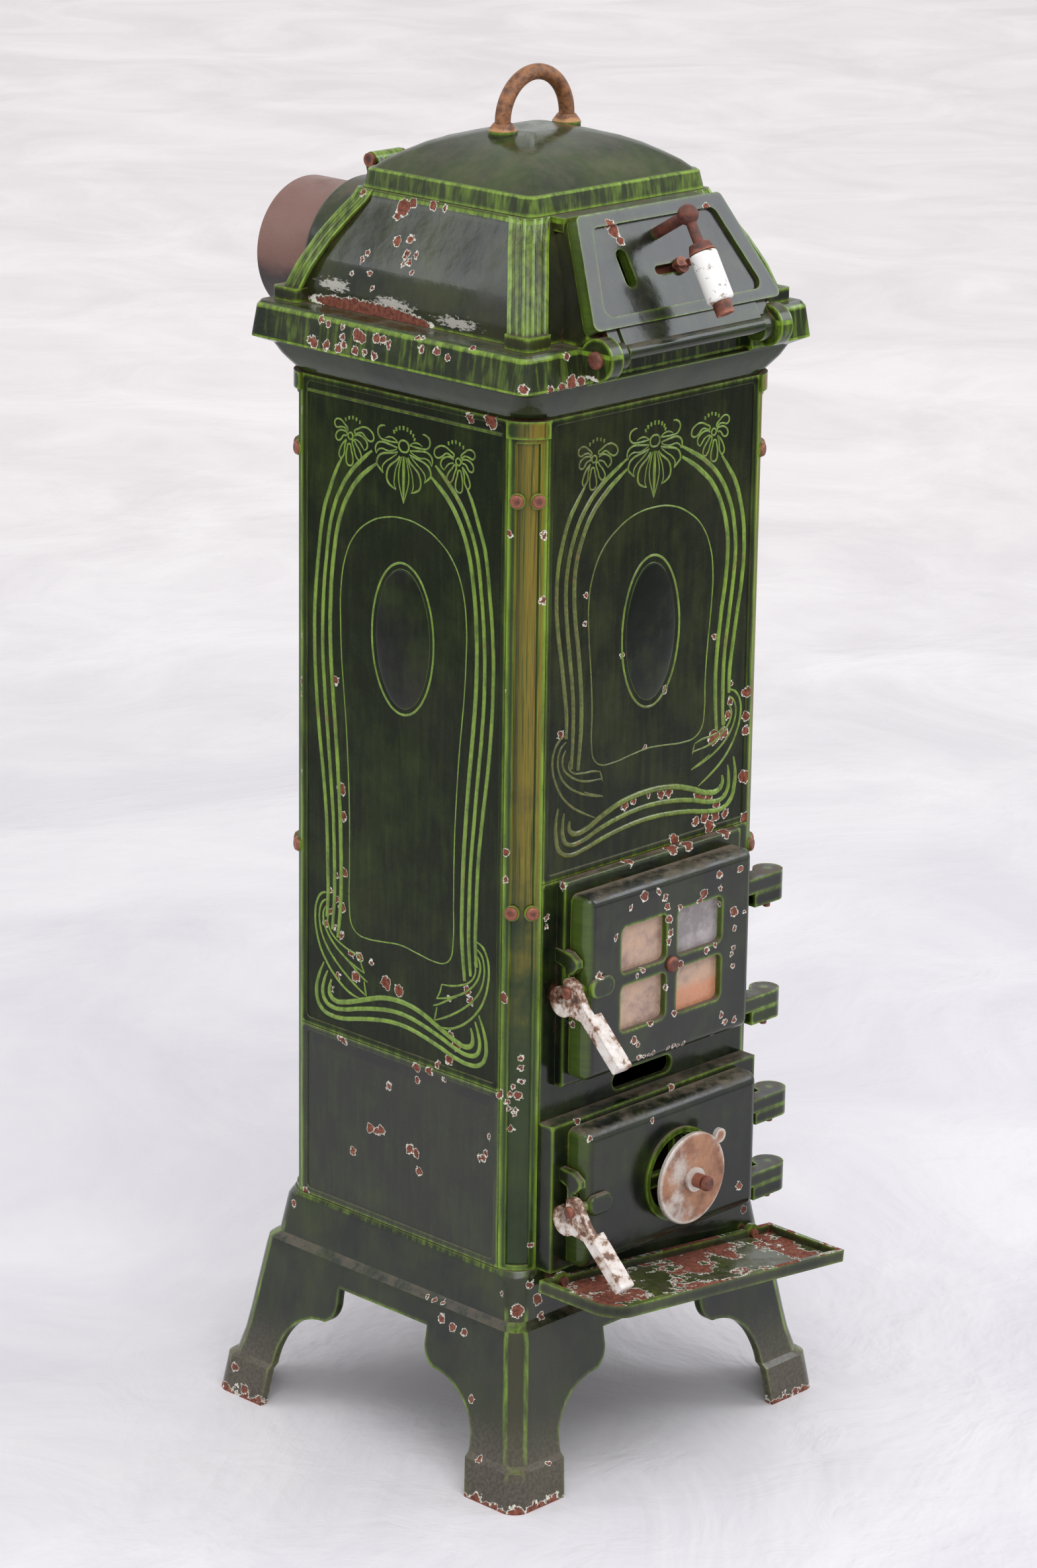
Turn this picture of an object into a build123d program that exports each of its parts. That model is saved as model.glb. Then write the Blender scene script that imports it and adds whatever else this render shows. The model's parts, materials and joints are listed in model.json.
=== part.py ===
"""Enamelled cast-iron heating stove: legged base, panelled body, hip dome with lid and filling flap.

Millimetres, +Z up, the stove's front towards -Y.  The origin is on the floor, under the middle of the
whole object; the body's own centre line lies body_y in front of or behind it.
"""
import os
from math import cos, radians, sin

from build123d import *

os.makedirs("parts", exist_ok=True)

# ---------------------------------------------------------------- driving dimensions
# general casting sizes
wall = 6.0                 # body panels and doors
base_wall = 8.0            # legs and plinth
seam = 0.3                 # joint between castings
seat_gap = 0.3             # clearance between a moving piece and its seat
pin_clear = 0.05           # radial clearance of a pin in its hole

# body
body_x = 155.0             # half width over the panels
body_y_half = 148.0        # half depth over the panels
body_bottom = 200.0
body_top = 956.0
corner_r = 30.0            # rounding of the corner columns
column_face_x = 24.0       # how far a column reaches along the front
column_face_y = 24.0       # how far it reaches along the side
panel_seam_z = 364.0       # joint between the ash section and the fire section
frame_top = 552.0          # top of the door frame casting, the ledge over the upper door

# base
foot_x = body_x + 45.0     # half width over the feet
foot_y = body_y_half + 45.0    # half depth over the feet
foot_face = 62.0           # width of one foot's face
foot_block = 35.0          # height of the foot blocks
apron_z = 131.0            # underside of the apron between the legs
ledge_z = 152.0            # ledge round the plinth

# cornice and dome
cornice_top = 1017.0
dome_top = 1114.6
dome_wall = 7.0

# lid
lid_x = body_x - 46.3
lid_y = body_y_half - 46.4
lid_hinge_y = body_y_half - 23.0
lid_hinge_z = 1130.0
handle_top = 1220.0

# flue
flue_r = 62.5              # outside of the pipe, a 125 mm pipe
flue_wall = 1.8
flue_z = 1025.0
neck_r = 73.0
neck_end = body_y_half + 64.0  # behind the body's centre line
flue_reach = 280.0         # pipe's free end behind the body's centre line

# ash shelf
shelf_reach = 252.0        # front edge, before the body's centre line
shelf_tilt = 6.2           # the shelf hangs crooked on its studs

# doors
upper_door_x = body_x - 50.0
upper_door_z = (374.0, 540.0)
upper_flange_y = -(body_y_half + 9.0)
upper_door_front = -(body_y_half + 32.0)
lower_door_x = body_x - 43.0
lower_door_z = (204.0, 331.0)
lower_flange_y = -(body_y_half + 17.0)
lower_door_front = -(body_y_half + 40.0)
hinge_pin_r = 3.3

# the whole is centred over the origin front to back
body_y = (shelf_reach - flue_reach) / 2


# ---------------------------------------------------------------- planes and helpers
def level(z):
    """Horizontal plane at height z, on the body's centre line."""
    return Plane(origin=(0, body_y, z))


def front(y):
    """Upright plane facing the viewer: local x is X, local y is Z, extrusions come forward."""
    return Plane(origin=(0, body_y + y, 0), x_dir=(1, 0, 0), z_dir=(0, -1, 0))


def facing(x, y, z):
    """Plane through a point, facing the viewer."""
    return Plane(origin=(x, body_y + y, z), x_dir=(1, 0, 0), z_dir=(0, -1, 0))


def side(x):
    """Upright plane across the stove: local x is Y, local y is Z, extrusions go towards +X."""
    return Plane(origin=(x, body_y, 0), x_dir=(0, 1, 0), z_dir=(1, 0, 0))


def save(piece, label):
    """Labels a finished piece and writes its file."""
    piece.part.label = label
    export_step(piece.part, f"parts/{label}.step")


def bands(sections, ruled=True, mode=Mode.ADD):
    """A body through level rounded rectangles, each (height, half x, half y, corner)."""
    outlines = []
    for height, half_x, half_y, corner in sections:
        with BuildSketch(level(height)) as outline:
            RectangleRounded(2 * half_x, 2 * half_y, corner)
        outlines.append(outline.sketch)
    loft(outlines, ruled=ruled, mode=mode)


def inset(sections, thickness, least_corner=4.0):
    """The same sections drawn in by a wall thickness."""
    return [
        (height, half_x - thickness, half_y - thickness, max(corner - thickness, least_corner))
        for height, half_x, half_y, corner in sections
    ]


def box(x_range, y_range, z_range, mode=Mode.ADD):
    """A block between limits measured from the body's centre line."""
    centre_x = sum(x_range) / 2
    centre_y = sum(y_range) / 2
    with BuildSketch(level(z_range[0])) as outline:
        with Locations((centre_x, centre_y)):
            Rectangle(x_range[1] - x_range[0], y_range[1] - y_range[0])
    extrude(outline.sketch, amount=z_range[1] - z_range[0], mode=mode)


def cylinder_x(x_range, y, z, radius, mode=Mode.ADD):
    """A round bar along X."""
    with BuildSketch(side(x_range[0])) as outline:
        with Locations((y, z)):
            Circle(radius)
    extrude(outline.sketch, amount=x_range[1] - x_range[0], mode=mode)


def cylinder_z(x, y, z_range, radius, mode=Mode.ADD):
    """A round bar along Z."""
    with BuildSketch(level(z_range[0])) as outline:
        with Locations((x, y)):
            Circle(radius)
    extrude(outline.sketch, amount=z_range[1] - z_range[0], mode=mode)


def cylinder_y(x, z, y_range, radius, mode=Mode.ADD):
    """A round bar along Y; y_range runs from the back to the front, as from 10 to -10."""
    with BuildSketch(front(y_range[0])) as outline:
        with Locations((x, z)):
            Circle(radius)
    extrude(outline.sketch, amount=y_range[0] - y_range[1], mode=mode)


def domed_head(plane, radius, height, shank_r, shank_length):
    """A round-headed screw standing on a plane, its shank going in."""
    with BuildSketch(plane) as shank:
        Circle(shank_r)
    extrude(shank.sketch, amount=-shank_length)
    with BuildSketch(plane) as head:
        Circle(radius)
    extrude(head.sketch, amount=height)
    rims = edges(Select.LAST).filter_by(GeomType.CIRCLE).sort_by(Axis(plane.origin, plane.z_dir))
    fillet(rims[-1], 0.8 * height)


# ---------------------------------------------------------------- base
foot_corner = 16.0
block_top = foot_block + 4.0
plinth_top = body_bottom
leg_sections = [
    (block_top, foot_x - 10.0, foot_y - 10.0, 18.0),
    (60.0, foot_x - 15.5, foot_y - 15.5, 18.0),
    (80.0, foot_x - 19.0, foot_y - 19.0, 18.0),
    (100.0, foot_x - 22.0, foot_y - 22.0, 18.0),
    (125.0, foot_x - 26.0, foot_y - 26.0, 18.0),
    (143.0, foot_x - 29.0, foot_y - 29.0, 18.0),
    (ledge_z, foot_x - 31.0, foot_y - 31.0, 17.0),
]
base_sections = (
    [(0.0, foot_x, foot_y, foot_corner), (foot_block, foot_x - 5.0, foot_y - 5.0, foot_corner)]
    + leg_sections
    + [
        (ledge_z + 6.0, body_x + 7.0, body_y_half + 7.0, 17.0),
        (plinth_top - 8.0, body_x + 2.5, body_y_half + 2.5, 20.0),
        (plinth_top, body_x + 0.5, body_y_half + 0.5, 28.0),
    ]
)
floor_top = 197.0          # ash-pit floor
floor_thick = 6.0
lip = 8.0                  # the ledge inside the plinth that carries the floor
inner_x = body_x - wall
inner_y = body_y_half - wall


def arch(plane, half_width, depth):
    """The opening between two legs: splayed feet, round haunches, a small step under the apron."""
    foot_in = half_width - foot_face
    leg_in = foot_in - 5.0
    haunch = 57.0
    step_x = leg_in - haunch - 13.0
    with BuildSketch(plane) as opening:
        with BuildLine():
            Line((0, -1), (foot_in, -1))
            Line((foot_in, -1), (leg_in, block_top))
            CenterArc((leg_in - haunch, block_top), haunch, 0, 90)
            ThreePointArc(
                (leg_in - haunch, block_top + haunch),
                (step_x + 5.0, block_top + haunch + 6.0),
                (step_x, block_top + haunch + 22.0),
            )
            Line((step_x, block_top + haunch + 22.0), (step_x, apron_z))
            Line((step_x, apron_z), (0, apron_z))
            Line((0, apron_z), (0, -1))
        make_face()
        mirror(about=Plane.YZ)
    extrude(opening.sketch, amount=-depth, mode=Mode.SUBTRACT)


shelf_floor = 4.0
shelf_back = -(foot_y - 31.0) - 0.5
shelf_left = -143.0
shelf_right = 160.0
shelf_low_z = 153.5        # underside at the low right end, on the plinth's ledge
stud_r = 4.0
stud_x = (-118.0, 132.0)
stud_lift = 7.5            # studs above the shelf's underside


def shelf_under(x):
    """Height of the shelf's underside at x."""
    return shelf_low_z + (shelf_right - x) * sin(radians(shelf_tilt)) / cos(radians(shelf_tilt))


with BuildPart() as base_casting:
    bands(base_sections)
    hollow = [(-1.0, foot_x, foot_y, foot_corner)] + base_sections[1:-2]
    bands(inset(hollow, base_wall), mode=Mode.SUBTRACT)
    floor_seat = floor_top - floor_thick
    inside_x = inner_x - lip
    inside_y = inner_y - lip
    box((-inside_x, inside_x), (-inside_y, inside_y), (ledge_z, floor_seat + 0.5), Mode.SUBTRACT)
    with BuildSketch(level(floor_seat)):
        RectangleRounded(2 * inner_x, 2 * inner_y, 14.0)
    extrude(amount=20, mode=Mode.SUBTRACT)
    arch(front(-foot_y - 5.0), foot_x, 2 * foot_y + 10.0)
    arch(side(foot_x + 5.0), foot_y, 2 * foot_x + 10.0)
    for x in stud_x:
        bored = (93.0 - foot_y, -7.0 - foot_y)
        cylinder_y(x, shelf_under(x) + stud_lift, bored, stud_r + pin_clear, Mode.SUBTRACT)
save(base_casting, "base_casting")


# ---------------------------------------------------------------- ash-pit floor and pan
runner_top = 213.0
pan_x = 88.0
pan_front = -(body_y_half - 14.0)
pan_back = body_y_half - 36.0
pan_height = 50.0
pan_wall = 2.0
bow_half = 26.0            # the pan's lifting bow
bow_z = 240.0
bow_r = 3.0
rod_x = body_x - 22.0
rod_y = body_y_half - 22.0
rod_r = 4.0
rod_clear = 0.3
rod_points = [(sx * rod_x, sy * rod_y) for sx in (-1, 1) for sy in (-1, 1)]

with BuildPart() as ash_floor:
    with BuildSketch(level(floor_top - floor_thick)):
        RectangleRounded(2 * (inner_x - seam), 2 * (inner_y - seam), 13.7)
    extrude(amount=floor_thick)
    for sx in (-1, 1):
        box((sx * 64.0 - 4.0, sx * 64.0 + 4.0), (pan_front + 6.0, pan_back), (floor_top, runner_top))
    for x, y in rod_points:
        cylinder_z(x, y, (floor_top - 10.0, floor_top + 1.0), rod_r + rod_clear, Mode.SUBTRACT)
save(ash_floor, "ash_floor")

with BuildPart() as ash_pan:
    pan_z = (runner_top + seam, runner_top + seam + pan_height)
    box((-pan_x, pan_x), (pan_front, pan_back), pan_z)
    box((-pan_x + pan_wall, pan_x - pan_wall), (pan_front + pan_wall, pan_back - pan_wall),
        (pan_z[0] + pan_wall, pan_z[1] + 1.0), Mode.SUBTRACT)
    rim = edges().filter_by(Axis.Z).filter_by(lambda e: abs(e.center().X) > pan_x - 0.1)
    fillet(rim, 1.5)
    # lifting bow across the front
    bow_back = body_y + pan_front
    bow_front = bow_back - 14.0
    with BuildLine() as bow:
        Polyline((-bow_half, bow_back, bow_z), (-bow_half, bow_front, bow_z),
                 (bow_half, bow_front, bow_z), (bow_half, bow_back, bow_z))
        fillet(bow.vertices().filter_by(lambda v: v.Y < bow_back - 5.0), 6.0)
    with BuildSketch(Plane(origin=(-bow_half, bow_back, bow_z), z_dir=(0, -1, 0))):
        Circle(bow_r)
    sweep()
save(ash_pan, "ash_pan")


# ---------------------------------------------------------------- corner columns
column_x = body_x - column_face_x
column_y = body_y_half - column_face_y
column_thick = 9.0
channel_depth = 2.5
channel_margin = 6.5
capital = 15.0
capital_proud = 3.0
screw_r = 6.0
screw_high = 3.0
screw_levels = (888.0, 528.0)
screw_angles = (28.0, 62.0)
corners = {
    "front_left_column": (-1, -1),
    "front_right_column": (1, -1),
    "rear_left_column": (-1, 1),
    "rear_right_column": (1, 1),
}


def corner_run(sx, sy, z_range, proud, depth, margin, mode=Mode.ADD):
    """A run of rounded corner wall, from proud of the body's outline to depth inside it."""
    with BuildSketch(level(z_range[0])) as ring:
        RectangleRounded(2 * (body_x + proud), 2 * (body_y_half + proud), corner_r + proud)
        inner_r = corner_r - depth
        RectangleRounded(2 * (body_x - depth), 2 * (body_y_half - depth), inner_r, mode=Mode.SUBTRACT)
        along_x = body_x + proud - column_x - margin
        along_y = body_y_half + proud - column_y - margin
        with Locations((sx * (body_x + proud - along_x / 2), sy * (body_y_half + proud - along_y / 2))):
            Rectangle(along_x, along_y, mode=Mode.INTERSECT)
    extrude(ring.sketch, amount=z_range[1] - z_range[0], mode=mode)


def on_corner(sx, sy, angle, z, lift):
    """Plane on a corner's rounding; the angle runs from the front or back face to the side."""
    out_x = sx * sin(radians(angle))
    out_y = sy * cos(radians(angle))
    reach = corner_r + lift
    origin = (
        sx * (body_x - corner_r) + reach * out_x,
        body_y + sy * (body_y_half - corner_r) + reach * out_y,
        z,
    )
    return Plane(origin=origin, x_dir=(0, 0, 1), z_dir=(out_x, out_y, 0))


ear_r = 6.9
ear_lift = 0.6
ear_depth = 2.4
for label, (sx, sy) in corners.items():
    with BuildPart() as column:
        corner_run(sx, sy, (body_bottom + seam, body_top), 0.0, column_thick, 0.0)
        corner_run(sx, sy, (body_top - capital, body_top), capital_proud, column_thick, 0.0)
        channel = (body_bottom + 5.0, body_top - capital - 4.0)
        corner_run(sx, sy, channel, 6.0, channel_depth, channel_margin, Mode.SUBTRACT)
        for height in screw_levels:
            for angle in screw_angles:
                with BuildSketch(on_corner(sx, sy, angle, height, ear_lift)):
                    Circle(ear_r)
                extrude(amount=-ear_depth)
        for height in screw_levels:
            for angle in screw_angles:
                with BuildSketch(on_corner(sx, sy, angle, height, ear_lift)):
                    Circle(2.5 + pin_clear)
                extrude(amount=-column_thick - 4.0, mode=Mode.SUBTRACT)
    save(column, label)

with BuildPart() as column_screws:
    for sx, sy in corners.values():
        for height in screw_levels:
            for angle in screw_angles:
                seat = on_corner(sx, sy, angle, height, ear_lift)
                domed_head(seat, screw_r, screw_high, 2.5, column_thick)
save(column_screws, "column_screws")


# ---------------------------------------------------------------- body panels
column_gap = 0.3
panel_x = column_x - column_gap
panel_y = column_y - column_gap
border = 6.0
recess = 1.6
grate_plate_z = (355.0, 363.0)
bracket = 13.0


def outer_side(sign):
    """The plane of a side's outer face: local x along Y, local y is Z, extrusions go outwards."""
    return Plane(origin=(sign * body_x, body_y, 0), x_dir=(0, sign, 0), z_dir=(sign, 0, 0))


outer_back = Plane(origin=(0, body_y + body_y_half, 0), x_dir=(-1, 0, 0), z_dir=(0, 1, 0))


def panel(plane, half_width, z_range):
    """A flat casting with a raised border round a recessed field."""
    height = z_range[1] - z_range[0]
    middle = (z_range[0] + z_range[1]) / 2
    with BuildSketch(plane) as face:
        with Locations((0, middle)):
            Rectangle(2 * half_width, height)
    extrude(face.sketch, amount=-wall)
    with BuildSketch(plane) as field:
        with Locations((0, middle)):
            RectangleRounded(2 * (half_width - border), height - 2 * border, 5.0)
    extrude(field.sketch, amount=-recess, mode=Mode.SUBTRACT)


for label, sign in (("left", -1), ("right", 1)):
    with BuildPart() as lower_side:
        panel(outer_side(sign), panel_y, (body_bottom + seam, panel_seam_z - seam))
        # inner bracket that carries the grate plate
        ends = sorted((sign * (inner_x + 1.0), sign * (inner_x - bracket)))
        box(ends, (38.0 - body_y_half, body_y_half - 38.0), (grate_plate_z[0] - 7.0, grate_plate_z[0]))
    save(lower_side, f"lower_{label}_panel")
    with BuildPart() as upper_side:
        panel(outer_side(sign), panel_y, (panel_seam_z, body_top))
        # the moulding line under the top border
        with BuildSketch(outer_side(sign)):
            with Locations((0, body_top - 14.0)):
                Rectangle(2 * (panel_y - border), 2.5)
        extrude(amount=-recess - 1.0)
    save(upper_side, f"upper_{label}_panel")

neck_clear = 0.3
with BuildPart() as back_panel:
    panel(outer_back, panel_x, (body_bottom + seam, body_top))
    cylinder_y(0, flue_z, (body_y_half + 5.0, body_y_half - 20.0), neck_r + neck_clear, Mode.SUBTRACT)
save(back_panel, "back_panel")

with BuildPart() as front_upper_panel:
    panel(front(-body_y_half), panel_x, (frame_top + seam, body_top))
save(front_upper_panel, "front_upper_panel")


# ---------------------------------------------------------------- door frame casting
upper_flange_x = upper_door_x + 7.0
lower_flange_x = panel_x
upper_opening = (upper_door_x - 17.0, 392.0, 526.0)     # half width, lowest, highest
lower_opening = (lower_door_x - 15.0, 212.0, 322.0)
slot_half = 38.0
slot_z = (341.0, 357.0)
upper_pin = (body_x - 11.0, upper_flange_y - 5.0)
lower_pin = (body_x - 2.5, lower_flange_y)
upper_lug_r = 13.5
lower_lug_r = 14.5
lug_gap = 0.3
upper_lugs = ((495.0, 509.0, 482.0), (384.0, 397.0, 371.0))     # door lug low, high, frame lug low
lower_lugs = ((287.5, 300.0, 276.0), (216.0, 228.5, 203.0))
upper_pivot = (upper_door_front + 9.0, 459.0)     # latch pivots, y and z
lower_pivot = (lower_door_front + 2.0, 264.0)
lever_left_upper = -(upper_door_x + 17.0)
lever_left_lower = -(lower_door_x + 17.5)
blade = 8.0                               # thickness of a lever's head and hook
lever_wide = 16.0
keeper_gap = 0.5
cut_through = body_y_half + 100.0         # long enough to open anything before the centre line


def lug(pin, radius, start_x, z_range, mode=Mode.ADD):
    """A hinge lug seen from above: a tongue from start_x with a round end about the pin."""
    with BuildSketch(level(z_range[0])) as outline:
        with Locations(((start_x + pin[0]) / 2, pin[1])):
            Rectangle(pin[0] - start_x, 2 * radius)
        with Locations(pin):
            Circle(radius)
    extrude(outline.sketch, amount=z_range[1] - z_range[0], mode=mode)


def keeper(plate_y, pivot, lever_left):
    """The claw that the latch's hook works against, on the left of a door."""
    near = lever_left + blade + keeper_gap
    with BuildSketch(side(near)) as tip:
        with BuildLine():
            Polyline((pivot[0] + 12.0, pivot[1] + 14.0), (pivot[0] + 12.0, pivot[1] - 6.0),
                     (pivot[0] + 9.5, pivot[1] - 10.0), (pivot[0] + 6.0, pivot[1] - 7.0),
                     (pivot[0] + 6.0, pivot[1] + 14.0), close=True)
        make_face()
    extrude(tip.sketch, amount=blade - 1.0)
    with BuildSketch(side(near)) as claw:
        with BuildLine():
            Polyline((plate_y + 0.5, pivot[1] + 21.0), (plate_y + 0.5, pivot[1] + 33.0),
                     (pivot[0] + 6.0, pivot[1] + 32.0), (pivot[0] - 3.0, pivot[1] + 26.0),
                     (pivot[0] - 3.5, pivot[1] + 20.0), (pivot[0] + 3.0, pivot[1] + 13.0),
                     (pivot[0] + 12.0, pivot[1] + 13.0), (pivot[0] + 13.0, pivot[1] + 18.0), close=True)
        make_face()
    extrude(claw.sketch, amount=blade - 1.0)


with BuildPart() as door_frame:
    box((-panel_x, panel_x), (-body_y_half, -body_y_half + wall), (body_bottom + seam, frame_top))
    box((-upper_flange_x, upper_flange_x), (upper_flange_y, -body_y_half + 1.0), (366.0, frame_top))
    lower_flange = (body_bottom + seam, 336.0)
    box((-lower_flange_x, lower_flange_x), (lower_flange_y, -body_y_half + 1.0), lower_flange)
    long_edges = edges().filter_by(Axis.X)
    fillet(long_edges.filter_by(lambda e: abs(e.center().Y - body_y - upper_flange_y) < 0.1), 2.0)
    for half, low, high in (upper_opening, lower_opening):
        with BuildSketch(front(0)):
            with Locations((0, (low + high) / 2)):
                RectangleRounded(2 * half, high - low, 8.0)
        extrude(amount=cut_through, mode=Mode.SUBTRACT)
    with BuildSketch(front(0)):
        with Locations((0, sum(slot_z) / 2)):
            SlotOverall(2 * slot_half, slot_z[1] - slot_z[0])
    extrude(amount=cut_through, mode=Mode.SUBTRACT)
    for door_low, door_high, frame_low in upper_lugs:
        frame_lug = (frame_low, door_low - lug_gap)
        lug(upper_pin, upper_lug_r, upper_flange_x + 1.0, frame_lug)
        box((upper_flange_x + 1.0, panel_x), (-body_y_half - 1.0, -body_y_half + 1.0), frame_lug)
        cylinder_z(*upper_pin, (frame_low - 1.0, door_low), hinge_pin_r + pin_clear, Mode.SUBTRACT)
    for door_low, door_high, frame_low in lower_lugs:
        frame_lug = (frame_low, door_low - lug_gap)
        lug(lower_pin, lower_lug_r, lower_flange_x + 0.6, frame_lug)
        root = (lower_flange_x - 12.7, lower_flange_x + 1.0)
        box(root, (lower_pin[1] - lower_lug_r, lower_flange_y + 1.0), frame_lug)
        cylinder_z(*lower_pin, (frame_low - 1.0, door_low), hinge_pin_r + pin_clear, Mode.SUBTRACT)
    keeper(-body_y_half, upper_pivot, lever_left_upper)
    keeper(lower_flange_y, lower_pivot, lever_left_lower)
save(door_frame, "door_frame")


# ---------------------------------------------------------------- doors
door_gap = 0.3
door_corner = 7.0
boss_r = 4.5
boss_long = 30.0
boss_wide = 19.0
window_half = (upper_door_x - 47.5) / 2
window_x = 0.34 * upper_door_x
window_z = ((410.0, 452.5), (463.5, 506.0))
window_mid = 458.0
mica_thick = 0.6
rivet_r = 3.0


def door_shell(half_x, z_range, back_y, front_y, edge_round):
    """A hollow door casting, open at the back, with a rounded front."""
    middle = sum(z_range) / 2
    height = z_range[1] - z_range[0]
    with BuildSketch(front(back_y - door_gap)) as outline:
        with Locations((0, middle)):
            RectangleRounded(2 * half_x, height, door_corner)
    extrude(outline.sketch, amount=back_y - door_gap - front_y)
    face = faces().sort_by(Axis.Y)[0]
    fillet(face.edges(), edge_round)
    with BuildSketch(front(back_y - door_gap)) as hollow:
        with Locations((0, middle)):
            RectangleRounded(2 * (half_x - wall - 4.0), height - 2 * wall - 8.0, door_corner)
    extrude(hollow.sketch, amount=back_y - door_gap - front_y - wall, mode=Mode.SUBTRACT)


def latch_boss(door_x, front_y, pivot_z, proud):
    """The thickening beside the latch's rivet, running in from the door's left edge."""
    with BuildSketch(front(front_y + 1.0)) as pad:
        with Locations((boss_long / 2 + 0.8 - door_x, pivot_z)):
            SlotOverall(boss_long, boss_wide)
    extrude(pad.sketch, amount=proud + 1.0)
    outer = faces(Select.LAST).sort_by(Axis.Y)[0]
    fillet(outer.edges(), 0.6 * proud)


def door_lug(pin, radius, door_x, flange_y, low, high):
    """A hinge lug on the door's right edge, standing on the frame's lug, with a blind pin hole."""
    with BuildSketch(level(low)) as outline:
        with Locations(pin):
            Circle(radius)
    extrude(outline.sketch, amount=high - low)
    box((door_x - 8.0, pin[0]), (pin[1] - radius, flange_y - door_gap), (low, high))
    cylinder_z(*pin, (low - 1.0, high - 2.5), hinge_pin_r + pin_clear, Mode.SUBTRACT)


with BuildPart() as upper_door:
    door_shell(upper_door_x, upper_door_z, upper_flange_y, upper_door_front, 9.0)
    with BuildSketch(front(0)):
        for low, high in window_z:
            with Locations((-window_x, (low + high) / 2), (window_x, (low + high) / 2)):
                RectangleRounded(2 * window_half, high - low, 6.0)
    extrude(amount=cut_through, mode=Mode.SUBTRACT)
    for door_low, door_high, frame_low in upper_lugs:
        door_lug(upper_pin, upper_lug_r, upper_door_x, upper_flange_y, door_low, door_high)
    latch_boss(upper_door_x, upper_door_front, upper_pivot[1], 3.0)
    cylinder_x((lever_left_upper + blade + 0.3, -upper_door_x + 8.0), *upper_pivot, boss_r)
    rivet_hole = (lever_left_upper - 1.0, -upper_door_x + 4.0)
    cylinder_x(rivet_hole, *upper_pivot, rivet_r + pin_clear, Mode.SUBTRACT)
    cylinder_y(0, window_mid, (upper_flange_y, upper_door_front - 5.0), 2.5 + pin_clear, Mode.SUBTRACT)
save(upper_door, "upper_door")

with BuildPart() as mica_panes:
    with BuildSketch(front(upper_door_front + wall)):
        for low, high in window_z:
            with Locations((-window_x, (low + high) / 2), (window_x, (low + high) / 2)):
                Rectangle(2 * window_half + 6.0, high - low + 6.0)
    extrude(amount=-mica_thick)
save(mica_panes, "mica_panes")

with BuildPart() as mica_retainer:
    with BuildSketch(front(upper_door_front + wall + mica_thick + 0.1)):
        with Locations((0, window_mid)):
            RectangleRounded(2 * (window_x + window_half + 5.0), 106.0, 4.0)
        for low, high in window_z:
            with Locations((-window_x, (low + high) / 2), (window_x, (low + high) / 2)):
                RectangleRounded(2 * window_half, high - low, 6.0, mode=Mode.SUBTRACT)
        with Locations((0, window_mid)):
            Circle(2.5 + pin_clear, mode=Mode.SUBTRACT)
    extrude(amount=-2.5)
save(mica_retainer, "mica_retainer")

with BuildPart() as mica_screw:
    domed_head(facing(0, upper_door_front - 0.05, window_mid), 7.0, 4.0, 2.5, 14.0)
save(mica_screw, "mica_screw")

regulator_x = 5.0
regulator_z = 264.0
ring_r = 43.0
ring_front = lower_door_front - 3.0
disc_r = 42.0
disc_back = lower_door_front - 15.0
disc_thick = 4.0
port_bar = 12.0            # bars between the air ports
bush_r = 6.5
spindle_r = 4.0
bush_front = lower_door_front - 32.0
spindle_head_y = bush_front - 2.5

with BuildPart() as lower_door:
    door_shell(lower_door_x, lower_door_z, lower_flange_y, lower_door_front, 11.0)
    with BuildSketch(front(lower_door_front + 1.0)):
        with Locations((regulator_x, regulator_z)):
            Circle(ring_r)
            Circle(ring_r - 5.0, mode=Mode.SUBTRACT)
    extrude(amount=4.0)
    # four air ports between the ring and the hub
    with BuildSketch(front(0)):
        with Locations((regulator_x, regulator_z)):
            Circle(ring_r - 8.0)
            Circle(13.0, mode=Mode.SUBTRACT)
            Rectangle(port_bar, 2 * ring_r, mode=Mode.SUBTRACT)
            Rectangle(2 * ring_r, port_bar, mode=Mode.SUBTRACT)
    extrude(amount=cut_through, mode=Mode.SUBTRACT)
    cylinder_y(regulator_x, regulator_z, (lower_door_front + wall + 4.0, lower_door_front + 1.0), 9.0)
    spindle_hole = (lower_flange_y, lower_door_front - 5.0)
    cylinder_y(regulator_x, regulator_z, spindle_hole, spindle_r + pin_clear, Mode.SUBTRACT)
    for door_low, door_high, frame_low in lower_lugs:
        door_lug(lower_pin, lower_lug_r, lower_door_x, lower_flange_y, door_low, door_high)
    latch_boss(lower_door_x, lower_door_front, lower_pivot[1], 5.0)
    cylinder_x((lever_left_lower + blade + 0.3, -lower_door_x + 8.0), *lower_pivot, boss_r)
    rivet_hole = (lever_left_lower - 1.0, -lower_door_x + 4.0)
    cylinder_x(rivet_hole, *lower_pivot, rivet_r + pin_clear, Mode.SUBTRACT)
save(lower_door, "lower_door")

for label, pin, lugs in (("upper", upper_pin, upper_lugs), ("lower", lower_pin, lower_lugs)):
    with BuildPart() as hinge_pins:
        for door_low, door_high, frame_low in lugs:
            cylinder_z(*pin, (frame_low - 9.0, door_high - 3.0), hinge_pin_r)
            fillet(edges().group_by(Axis.Z)[0], 1.0)
    save(hinge_pins, f"{label}_hinge_pins")


# ---------------------------------------------------------------- latches
def between(start, end, share):
    """The point a share of the way from start to end."""
    return (start[0] + share * (end[0] - start[0]), start[1] + share * (end[1] - start[1]))


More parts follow.
